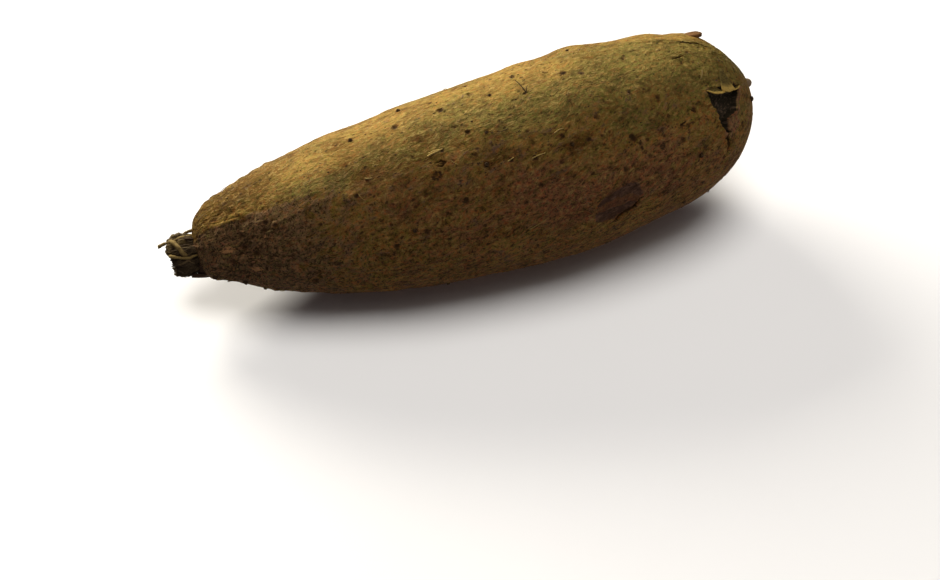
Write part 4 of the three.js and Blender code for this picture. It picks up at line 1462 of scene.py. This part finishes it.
def stump_mesh():
    """A broken root's base, one unit in radius: a low ragged ring with a hollow middle."""
    rng = random.Random(2)
    sides = 10
    profile = [(1.25, -0.6), (1.05, 0.25), (0.82, 0.8), (0.62, 0.85), (0.42, 0.45)]
    points = []
    for level, (radius, height) in enumerate(profile):
        for j in range(sides):
            turn = 2 * math.pi * j / sides
            r = radius * rng.uniform(0.88, 1.12)
            h = height + (rng.uniform(-0.22, 0.22) if level in (2, 3) else 0)
            points.append((r * math.cos(turn), r * math.sin(turn), h))
    points += [(0, 0, 0.35), (0, 0, -0.6)]
    faces = [
        (i * sides + j, i * sides + (j + 1) % sides, (i + 1) * sides + (j + 1) % sides, (i + 1) * sides + j)
        for i in range(len(profile) - 1)
        for j in range(sides)
    ]
    top = (len(profile) - 1) * sides
    faces += [(top + j, top + (j + 1) % sides, len(points) - 2) for j in range(sides)]
    faces += [((j + 1) % sides, j, len(points) - 1) for j in range(sides)]
    return mesh_of("stump", points, faces)


def flake_mesh():
    """A thin flake of bark, one unit long, rooted at one end and curling up at the other; closed."""
    rng = random.Random(9)
    outline = [(0, 0.1), (0.3, 0.2), (0.62, 0.24), (0.9, 0.16), (1.0, 0.04)]
    top, bottom = [], []
    for i, (x, half) in enumerate(outline):
        for side in (-1, 0, 1):
            y = side * half * rng.uniform(0.8, 1.15)
            z = -0.05 + 0.2 * x**2 - 0.06 * abs(side)
            top.append((x + rng.uniform(-0.03, 0.03), y, z + 0.04))
            bottom.append((x, y, z - 0.04))
    points = top + bottom
    count = len(top)
    faces = []
    for i in range(len(outline) - 1):
        for j in range(2):
            a, b, c, d = 3 * i + j, 3 * (i + 1) + j, 3 * (i + 1) + j + 1, 3 * i + j + 1
            faces += [(a, b, c, d), (a + count, d + count, c + count, b + count)]
    rim = [0, 3, 6, 9, 12, 13, 14, 11, 8, 5, 2, 1]
    faces += [(rim[k], rim[k] + count, rim[(k + 1) % 12] + count, rim[(k + 1) % 12]) for k in range(12)]
    return mesh_of("flake", points, faces)


def stump_tree(material):
    """Sets a stump on each point, square to the skin and turned at random."""
    tree, net, given = new_tree("Root stumps", [
        ("Stump", "NodeSocketObject", None),
        ("Seed", "NodeSocketInt", 1),
    ])
    spin = net.node("FunctionNodeAxisAngleToRotation", None, {
        "Axis": (0.0, 0.0, 1.0), "Angle": between(net, 0.0, FULL_TURN, given["Seed"]),
    })["Rotation"]
    turned = turned_by(net, upright_on(net, named(net, "outward", "FLOAT_VECTOR")), spin)
    stump = form_of(net, given["Stump"])
    placed = copies(net, given["Geometry"], stump, Rotation=turned, Scale=named(net, "size"))
    end_tree(net, placed, material)
    return tree


def strand_mesh(name, strands):
    """Loose lines of points, each with its thickness in millimetres and its tone."""
    points, edges, thickness, tone = [], [], [], []
    for line, radius, shade in strands:
        start = len(points)
        points += list(line)
        edges += [(start + i, start + i + 1) for i in range(len(line) - 1)]
        thickness += list(np.broadcast_to(radius, len(line)) * MM)
        tone += [shade] * len(line)
    return mesh_of(name, in_metres(points), edges=edges, values={"thickness": thickness, "tone": tone})


def strand_tree(name, material):
    """Makes a closed, slightly uneven tube along each line."""
    tree, net, given = new_tree(name, [
        ("Sides", "NodeSocketInt", 6),
        ("Unevenness", "NodeSocketFloat", 0.1 * MM),
    ])
    curve = net.node("GeometryNodeMeshToCurve", None, {"Mesh": given["Geometry"]})["Curve"]
    section = net.node("GeometryNodeCurvePrimitiveCircle", None, {
        "Resolution": given["Sides"], "Radius": 1.0,
    })["Curve"]
    tube = net.node("GeometryNodeCurveToMesh", None, {
        "Curve": curve, "Profile Curve": section, "Scale": named(net, "thickness"), "Fill Caps": True,
    })["Mesh"]
    shift = net.drift(millimetres(net, position(net)), 2.0, 0.9)
    end_tree(net, moved_by(net, tube, times(net, shift, given["Unevenness"])), material)
    return tree


def grow_strands(name, label, strands, material, sides, unevenness):
    """Runs the strand tree on loose lines, with its unevenness in millimetres."""
    return grow(name, strand_mesh(name + "_lines", strands), strand_tree(label, material), {
        "Sides": sides, "Unevenness": unevenness * MM,
    })


def flake_tree(material):
    """Scatters flakes over the crown's lower side, their loose ends towards the vine."""
    tree, net, given = new_tree("Bark flakes", [
        ("Flake", "NodeSocketObject", None),
        ("Density", "NodeSocketFloat", 3 * PER_SQUARE_CM),
        ("Seed", "NodeSocketInt", 1),
    ])
    height = net.part(position(net), "Z")
    lower = net.smooth(height, 42 * MM, 34 * MM)
    density = named(net, "crown") * net.smooth(height, 3 * MM, 7 * MM) * lower * given["Density"]
    spread = scattered(net, given["Geometry"], density, given["Seed"])
    seat = net.node("FunctionNodeAxesToRotation", {"primary_axis": "Z", "secondary_axis": "X"}, {
        "Primary Axis": spread["Normal"], "Secondary Axis": (-1.0, 0.0, 0.1),
    })["Rotation"]
    turn = net.joined(
        X=between(net, -0.2, 0.2, given["Seed"]),
        Y=between(net, -0.16, 0.04, given["Seed"] + 1),
        Z=between(net, -0.9, 0.9, given["Seed"] + 2),
    )
    turned = turned_by(net, seat, net.node("FunctionNodeEulerToRotation", None, {"Euler": turn})["Rotation"])
    size = between(net, 0.9 * MM, 2.4 * MM, given["Seed"] + 3)
    placed = copies(net, spread["Points"], form_of(net, given["Flake"]), Rotation=turned, Scale=size)
    tone = between(net, 0.0, 1.0, given["Seed"] + 4)
    end_tree(net, stored(net, placed, "tone", tone, "INSTANCE"), material)
    return tree


def crumb_tree(material):
    """Scatters crumbs of soil in patches over the skin, more of them on the crown and none where it rests."""
    tree, net, given = new_tree("Soil crumbs", [
        ("Density", "NodeSocketFloat", 6 * PER_SQUARE_CM),
        ("Seed", "NodeSocketInt", 1),
    ])
    crumb = net.node("GeometryNodeMeshIcoSphere", None, {"Radius": 1.0, "Subdivisions": 1})["Mesh"]
    grain = named(net, "grain", "FLOAT_VECTOR")
    gathered = net.smooth(net.noise(net.scaled(grain, 0.07, 0.1, 0.1), 3), 0.42, 0.68)
    raised = net.smooth(net.part(position(net), "Z"), 1 * MM, 4 * MM)
    density = (gathered * 0.8 + 0.2 + named(net, "crown")) * raised * given["Density"]
    spread = scattered(net, given["Geometry"], density, given["Seed"])
    size = between(net, 0.08 * MM, 0.26 * MM, given["Seed"] + 1)
    shape = net.joined(X=size * between(net, 0.8, 2.2, given["Seed"] + 2), Y=size, Z=size * 0.6)
    upright = upright_on(net, spread["Normal"])
    end_tree(net, copies(net, spread["Points"], crumb, Rotation=upright, Scale=shape), material)
    return tree


def listed_hairs():
    """The dry roots that have places of their own."""
    hairs = []
    for line, radius, tone in HAIRS:
        points = [spot(x, degrees, height) for x, degrees, height in smooth_path(line, HAIR_STEPS)]
        hairs.append((points, radius * np.linspace(1, 0.65, HAIR_STEPS), tone))
    return hairs


def loose_hairs(rng, count):
    """Fine roots that are spread over the skin, except where it rests and round the torn eye."""
    hairs = []
    (first_x, last_x), (first_angle, last_angle) = EYE_REGION
    for i in range(count):
        x = -98 + 190 * (i + rng.random()) / count
        degrees = (i * GOLDEN_ANGLE + 25 + 30 * rng.random()) % 360
        if spot(x, degrees)[2] < 6 or (first_x < x < last_x and first_angle < degrees < last_angle):
            continue
        heading, bend = rng.uniform(0, 2 * math.pi), rng.uniform(-0.9, 0.9)
        reach, lift = rng.uniform(1.6, 4.6), rng.uniform(0.15, 0.7)
        points = []
        for f in np.linspace(0, 1, LOOSE_STEPS):
            turn = heading + bend * f
            dx, da = reach * f * math.cos(turn), reach * f * math.sin(turn) / 0.6
            points.append(spot(x + dx, degrees + da, -0.15 + lift * math.sin(2.6 * f)))
        thickness = rng.uniform(0.1, 0.24) * np.linspace(1, 0.5, LOOSE_STEPS)
        hairs.append((points, thickness, rng.random() ** 1.6))
    return hairs


class OBJECT_OT_yam_roots(Operator):
    """Make the root stumps, fine root hairs, bark flakes and crumbs of soil on the skin"""

    bl_idname = "object.yam_roots"
    bl_label = "Stumps, hairs, flakes and crumbs"

    def execute(self, context):
        s = context.scene.yam_roots
        skin = bpy.data.objects["tuber_skin"]
        root = root_material("dry_root", s.dark, s.pale)

        stumps = [(x, degrees, 0.5 * radius, 0.22) for x, degrees, radius, proud in root_scars() if proud]
        stumps += KNOBS
        places = in_metres([spot(x, degrees) for x, degrees, _, _ in stumps])
        source = mesh_of("stump_points", places, values={
            "size": [radius * MM for _, _, radius, _ in stumps],
            "tone": [tone for _, _, _, tone in stumps],
            "outward": [skin_axes(x, degrees)[2] for x, degrees, _, _ in stumps],
        })
        stump = add_object("stump", stump_mesh())
        piece = grow("root_stumps", source, stump_tree(root), {"Stump": stump, "Seed": s.seed})
        bpy.data.objects.remove(stump)
        settle(piece, "yam_skin")

        hairs = listed_hairs() + loose_hairs(random.Random(s.seed), s.hairs)
        settle(grow_strands("root_hairs", "Root hairs", hairs, root, 5, 0.16), "yam_skin")

        flake = add_object("flake", flake_mesh())
        bark = root_material("bark_flake", context.scene.yam_skin.umber, context.scene.yam_skin.rust)
        piece = grow("bark_flakes", skin.data.copy(), flake_tree(bark), {
            "Flake": flake, "Density": s.flakes * PER_SQUARE_CM, "Seed": s.seed,
        })
        bpy.data.objects.remove(flake)
        keep_attributes(piece, ("tone",))
        settle(piece, "yam_skin")

        soil = plain_bark("dry_soil", s.soil, SOIL_SHADE, (1.2, 1.2, 1.2))
        piece = grow("soil_crumbs", skin.data.copy(), crumb_tree(soil), {
            "Density": s.crumbs * PER_SQUARE_CM, "Seed": s.seed + 20,
        })
        keep_attributes(piece, ())
        settle(piece, "yam_skin")
        return {"FINISHED"}


def keep_attributes(piece, names):
    """Drops the attributes that a scattered piece has taken from the skin."""
    for attribute in [a.name for a in piece.data.attributes if not a.is_internal and not a.is_required]:
        if attribute not in names and attribute not in ("sharp_face", "material_index"):
            piece.data.attributes.remove(piece.data.attributes[attribute])


# --- The vine's base --------------------------------------------------------------------------------------


def round_stub(out, degrees, radius):
    """A point round the vine's base, in the tuber's millimetres."""
    out, degrees, radius = np.broadcast_arrays(*(np.asarray(v, float) for v in (out, degrees, radius)))
    angle = np.radians(degrees)
    across = radius[..., None] * np.stack([0 * angle, np.cos(angle), np.sin(angle)], -1)
    return STUB_FOOT + np.stack([-out, 0 * out, -STUB_DROOP * out / STUB_LENGTH], -1) + across


def stub_width(out, degrees):
    """The radius of the ribbed plug there."""
    reach = np.clip(np.asarray(out, float) / STUB_LENGTH, 0, 1)
    angle = np.radians(degrees)
    rib = 0.55 * np.cos(STUB_RIBS * angle + 1.6 * np.sin(2 * angle) + 2 * reach)
    return STUB_RADIUS * along(STUB_WIDTHS, reach) + rib


def vine_tree(material):
    """Roughens the plug with fibres along it and breaks up its end."""
    tree, net, given = new_tree("Vine fibre", [
        ("Fibre height", "NodeSocketFloat", 0.6 * MM),
        ("Break depth", "NodeSocketFloat", BREAK_DEPTH),
    ])
    way = named(net, "fibre", "FLOAT_VECTOR")
    strand = net.noise(net.scaled(way, 0.12, 1.1, 1.1), 4, 0.65, 0.3)
    knots = net.noise(net.scaled(way, 0.3, 0.34, 0.34), 3, 0.6)
    end = named(net, "end")
    raised = ((strand - 0.5) * 1.4 + (knots - 0.5) * 2.2) * given["Fibre height"] * (1 - end)
    torn = net.noise(net.scaled(way, 0.5, 1.3, 1.3), 3, 0.7) * given["Break depth"] * end
    offset = net.vector("ADD", times(net, facing(net), raised), net.joined(X=torn))
    end_tree(net, stored(net, moved_by(net, given["Geometry"], offset), "strand", strand), material)
    return tree


def vine_material(s):
    def build(net):
        place = surface_places(net)
        strand = fact(net, "strand")
        fine = net.noise(net.scaled(place, 0.6, 2.6, 2.6), 4, 0.65)
        blotch = net.noise(net.scaled(place, 0.25, 0.3, 0.3), 3)
        fibre = net.mix(s.dark[:], s.light[:], net.smooth(strand * 0.7 + fine * 0.5, 0.55, 0.85))
        aged = net.mix(fibre, VINE_ROT, net.smooth(blotch, 0.45, 0.65) * 0.6)
        return aged, 0.92 - 0.2 * fine, relief_normal(net, fine, 0.6)
    return new_material("vine_fibre", build)


def lump_tree(material):
    """A knobbly closed lump at each point; they overlap."""
    tree, net, given = new_tree("Vine lumps", [("Roughness", "NodeSocketFloat", LUMP_ROUGHNESS)])
    ball = net.node("GeometryNodeMeshIcoSphere", None, {"Radius": 1.0, "Subdivisions": 4})["Mesh"]
    placed = copies(net, given["Geometry"], ball, Scale=named(net, "size"))
    real = net.node("GeometryNodeRealizeInstances", None, {"Geometry": placed})["Geometry"]
    rough = net.noise(net.scaled(millimetres(net, position(net)), 0.5, 1.1, 0.8), 4, 0.62) - 0.5
    moved = moved_by(net, real, times(net, facing(net), rough * 2 * given["Roughness"]))
    end_tree(net, moved, material)
    return tree


def foot_scales(material):
    """Ragged scales of old bark that the crown wraps round the vine's foot."""
    rng = random.Random(17)
    sheets = []
    for degrees, reach, half, radius in FOOT_SCALES:
        ends = [reach + rng.uniform(-0.9, 0.9) for _ in range(9)]
        edges = [half * (1 + rng.uniform(-0.15, 0.15)) for _ in range(10)]
        rows = []
        for i, f in enumerate(np.linspace(0, 1, 10)):
            row = []
            for j, side in enumerate(np.linspace(-1, 1, 9)):
                out = -4 + (ends[j] + 4) * f
                angle = degrees + edges[i] * side * (1 - 0.4 * f**2)
                crease = 0.35 * math.sin(2.6 * side + degrees) - 0.4 * side**2 - 1.6 * f**3
                row.append(round_stub(out, angle, radius + crease + rng.uniform(-0.12, 0.12)))
            rows.append(row)
        tone = np.full(90, rng.random())
        sheets.append(sheet_of("scale", rows, 0.8 * MM, {"tone": tone}))
    return join("foot_scales", sheets, material)


def plug_mesh():
    """The ribbed plug as a closed drum, with its foot inside the crown and a broken end."""
    rings, sides = PLUG_RINGS, PLUG_SIDES
    rows, fibre, end = [], [], []
    turn = np.arange(sides) * 360.0 / sides
    angle = np.radians(turn)
    for i in range(rings + 1):
        share = i / rings
        reach = np.clip((share - FOOT_SHARE) / SIDE_SHARE, 0, 1)
        cap = min(1, share / FOOT_SHARE, (1 - share) / END_SHARE)
        broken = 1.1 * (1 - 0.4 * cap) * np.sin(3 * angle + 0.6) if reach == 1 else 0
        out = STUB_LENGTH * reach
        rows.append(round_stub(out + broken, turn, cap * stub_width(out, turn)))
        fibre.append(np.stack([np.full(sides, out), cap * 7 * np.cos(angle), cap * 7 * np.sin(angle)], -1))
        end.append(np.full(sides, smoothstep(1 - cap, 0.0, 0.2) if reach == 1 else 0.0))
    points = np.vstack([rows[0].mean(0)[None], *rows[1:-1], rows[-1].mean(0)[None]])
    return mesh_of("vine_base", in_metres(points), [face[::-1] for face in drum(rings, sides)[1]], values={
        "fibre": np.vstack([fibre[0].mean(0)[None], *fibre[1:-1], fibre[-1].mean(0)[None]]),
        "end": np.concatenate([[0.0], *end[1:-1], [1.0]]),
    })


def side_strands(rng, count):
    """Fibres that lie along the plug's sides, some with their ends splayed."""
    strands = []
    for i in range(count):
        degrees = (i * GOLDEN_ANGLE) % 360
        start, stop = rng.uniform(1, 9), rng.uniform(8, 15)
        lean, splay = rng.uniform(-38, 38), rng.choice((0, 0, 0.3, 0.7))
        points = []
        for f in np.linspace(0, 1, SIDE_STEPS):
            out = start + (stop - start) * f
            angle = degrees + lean * f
            radius = stub_width(out, angle) - 0.2 + 0.35 * math.sin(math.pi * f) + splay * f**3
            points.append(round_stub(out, angle, radius))
        thickness = rng.uniform(0.12, 0.36) * np.linspace(1, 0.6, SIDE_STEPS)
        strands.append((points, thickness, 0.9 * rng.random() ** 1.5))
    return strands


def end_strands(rng):
    """Short fibres that stand out of the plug's broken end."""
    strands = []
    for _ in range(END_STRANDS):
        degrees, radius = rng.uniform(0, 360), 6.0 * math.sqrt(rng.random())
        stop = rng.uniform(13.0, 15.2)
        points = [
            round_stub(12 + (stop - 12) * f, degrees + 10 * f, radius) for f in np.linspace(0, 1, END_STEPS)
        ]
        thickness = rng.uniform(0.22, 0.5) * np.linspace(1, 0.7, END_STEPS)
        strands.append((points, thickness, 0.8 * rng.random()))
    return strands


def clinging_roots():
    """The dried roots on the vine's base, and the blunt tip of the first one."""
    strands = []
    for i, (start, stop, tone, line) in enumerate(ROOTS):
        path = smooth_path([round_stub(*p) for p in line], ROOT_STEPS)
        long_wave = np.sin(np.linspace(0, 9 + i, ROOT_STEPS))
        swell = 1 + 0.1 * long_wave + 0.06 * np.sin(np.linspace(0, 31, ROOT_STEPS))
        strands.append((path, np.linspace(start, stop, ROOT_STEPS) * swell, tone))
    thickness, tone, line = ROOT_TIP
    return strands + [([round_stub(*p) for p in line], thickness, tone)]


class OBJECT_OT_yam_vine(Operator):
    """Make the dead vine's base: its ribbed plug, its frayed strands and the roots that cling to it"""

    bl_idname = "object.yam_vine"
    bl_label = "Vine base"

    def execute(self, context):
        s = context.scene.yam_vine
        roots = context.scene.yam_roots
        piece = grow("vine_core", plug_mesh(), vine_tree(vine_material(s)), {
            "Fibre height": s.fibre, "Break depth": BREAK_DEPTH,
        })
        settle(piece, "vine_fibre", "vine_stub")

        rng = random.Random(31)
        strands = side_strands(rng, s.strands) + end_strands(rng)
        frayed = root_material("frayed_fibre", s.dark, s.light)
        settle(grow_strands("vine_strands", "Vine strands", strands, frayed, 5, 0.3), "vine_fibre")
        clinging = root_material("vine_root", roots.dark, roots.pale)
        settle(grow_strands("vine_roots", "Vine roots", clinging_roots(), clinging, 12, 0.5), "vine_fibre")

        settle(foot_scales(root_material("foot_bark", *FOOT_BARK)), "vine_fibre")

        points = mesh_of("lump_points", in_metres([round_stub(*lump[:3]) for lump in LUMPS]), values={
            "size": [lump[3] * MM for lump in LUMPS],
        })
        dry = plain_bark("dry_lump", s.lump, LUMP_SHADE, (1.1, 0.6, 0.6))
        settle(grow("vine_lumps", points, lump_tree(dry), {"Roughness": LUMP_ROUGHNESS}), "vine_fibre")
        return {"FINISHED"}


# --- The stage --------------------------------------------------------------------------------------------


def area_light(name, place, target, size, power, tint):
    """A soft lamp, unseen itself, that faces its target."""
    light = bpy.data.lights.new(name, "AREA")
    light.shape, light.size, light.size_y = "RECTANGLE", size[0], size[1]
    light.energy, light.color = power, tint
    lamp = bpy.data.objects.new(name, light)
    bpy.context.scene.collection.objects.link(lamp)
    lamp.location = place
    lamp.visible_camera = False
    lamp.rotation_euler = (Vector(place) - Vector(target)).to_track_quat("Z", "Y").to_euler()
    return lamp


def light_group(name, lamp, floor):
    """Gives a lamp a group of receivers that holds the floor."""
    group = bpy.data.collections.new(name)
    group.objects.link(floor)
    lamp.light_linking.receiver_collection = group
    return group


def surroundings(strength):
    """A faint light all round, which the camera sees as plain white."""
    world = bpy.data.worlds.new("surroundings")
    world.use_nodes = True
    world.node_tree.nodes.clear()
    net = Net(world.node_tree)
    rays = net.node("ShaderNodeLightPath")["Is Camera Ray"]
    dim = net.node("ShaderNodeBackground", None, {"Color": (1.0, 0.9, 0.97), "Strength": strength})
    pale = net.node("ShaderNodeBackground", None, {"Color": (1.0, 1.0, 1.0), "Strength": 1.0})
    both = net.node("ShaderNodeMixShader")
    for wire, socket in zip((rays, dim["Background"], pale["Background"]), both.node.inputs):
        net.tree.links.new(wire.socket, socket)
    net.node("ShaderNodeOutputWorld", None, {"Surface": both["Shader"]})
    return world


def main_camera():
    """The camera, turned and raised round its target."""
    camera = bpy.data.cameras.new("camera")
    camera.lens, camera.sensor_width = 50, 36
    camera.clip_start, camera.clip_end = 0.01, 50
    viewer = bpy.data.objects.new("camera", camera)
    bpy.context.scene.collection.objects.link(viewer)
    azimuth, elevation = math.radians(CAMERA_TURN), math.radians(CAMERA_RISE)
    back = Vector((
        math.sin(azimuth) * math.cos(elevation),
        -math.cos(azimuth) * math.cos(elevation),
        math.sin(elevation),
    ))
    viewer.location = Vector(CAMERA_TARGET) + back * CAMERA_DISTANCE
    viewer.rotation_euler = back.to_track_quat("Z", "Y").to_euler()
    return viewer


class OBJECT_OT_yam_stage(Operator):
    """Make the floor, the lights and the camera"""

    bl_idname = "object.yam_stage"
    bl_label = "Stage"

    def execute(self, context):
        s = context.scene.yam_stage
        scene = context.scene

        def floor_paint(net):
            place = surface_places(net)
            cloud = net.noise(net.scaled(place, 0.01, 0.01, 0.01), 3)
            tint = net.mix(s.floor[:], tuple(0.97 * c for c in s.floor), cloud)
            return tint, 0.9, None

        half = FLOOR_HALF
        floor = add_object("floor", mesh_of(
            "floor", [(-half, -half, 0), (half, -half, 0), (half, half, 0), (-half, half, 0)], [(0, 1, 2, 3)],
        ))
        floor.data.materials.append(new_material("pale_floor", floor_paint))
        floor.visible_diffuse = False

        lamps = {
            name: area_light(name, place, target, size, getattr(s, power), tint)
            for name, place, target, size, power, tint in LAMPS
        }
        overhead = bpy.data.lights.new("floor_light", "SUN")
        overhead.energy, overhead.angle = s.wash, math.radians(40)
        wash = bpy.data.objects.new("floor_light", overhead)
        scene.collection.objects.link(wash)
        light_group("washed", wash, floor)
        spared = light_group("spared", lamps["fill_light"], floor)
        spared.collection_objects[0].light_linking.link_state = "EXCLUDE"

        scene.world = surroundings(s.ambient)
        scene.camera = main_camera()
        scene.view_settings.view_transform = "Standard"
        return {"FINISHED"}


class VIEW3D_PT_yam(Panel):
    """Lists the yam's pieces and their settings"""

    bl_label = "Purple yam"
    bl_space_type = "VIEW_3D"
    bl_region_type = "UI"
    bl_category = "Yam"

    def draw(self, context):
        for operator, key in STEPS:
            box = self.layout.box()
            box.operator(operator.bl_idname)
            settings = getattr(context.scene, key)
            for name in settings.__annotations__:
                box.prop(settings, name)


STEPS = [
    (OBJECT_OT_yam_skin, "yam_skin"),
    (OBJECT_OT_yam_eye, "yam_eye"),
    (OBJECT_OT_yam_roots, "yam_roots"),
    (OBJECT_OT_yam_vine, "yam_vine"),
    (OBJECT_OT_yam_stage, "yam_stage"),
]
SETTINGS = {
    "yam_skin": YamSkinSettings,
    "yam_eye": YamEyeSettings,
    "yam_roots": YamRootSettings,
    "yam_vine": YamVineSettings,
    "yam_stage": YamStageSettings,
}


def register():
    for key, group in SETTINGS.items():
        bpy.utils.register_class(group)
        setattr(bpy.types.Scene, key, PointerProperty(type=group))
    for operator, _ in STEPS:
        bpy.utils.register_class(operator)
    bpy.utils.register_class(VIEW3D_PT_yam)


def unregister():
    bpy.utils.unregister_class(VIEW3D_PT_yam)
    for operator, _ in reversed(STEPS):
        bpy.utils.unregister_class(operator)
    for key, group in reversed(SETTINGS.items()):
        delattr(bpy.types.Scene, key)
        bpy.utils.unregister_class(group)


def main():
    register()
    bpy.ops.object.yam_skin()
    bpy.ops.object.yam_eye()
    bpy.ops.object.yam_roots()
    bpy.ops.object.yam_vine()
    bpy.ops.object.yam_stage()


if __name__ == "__main__":
    main()
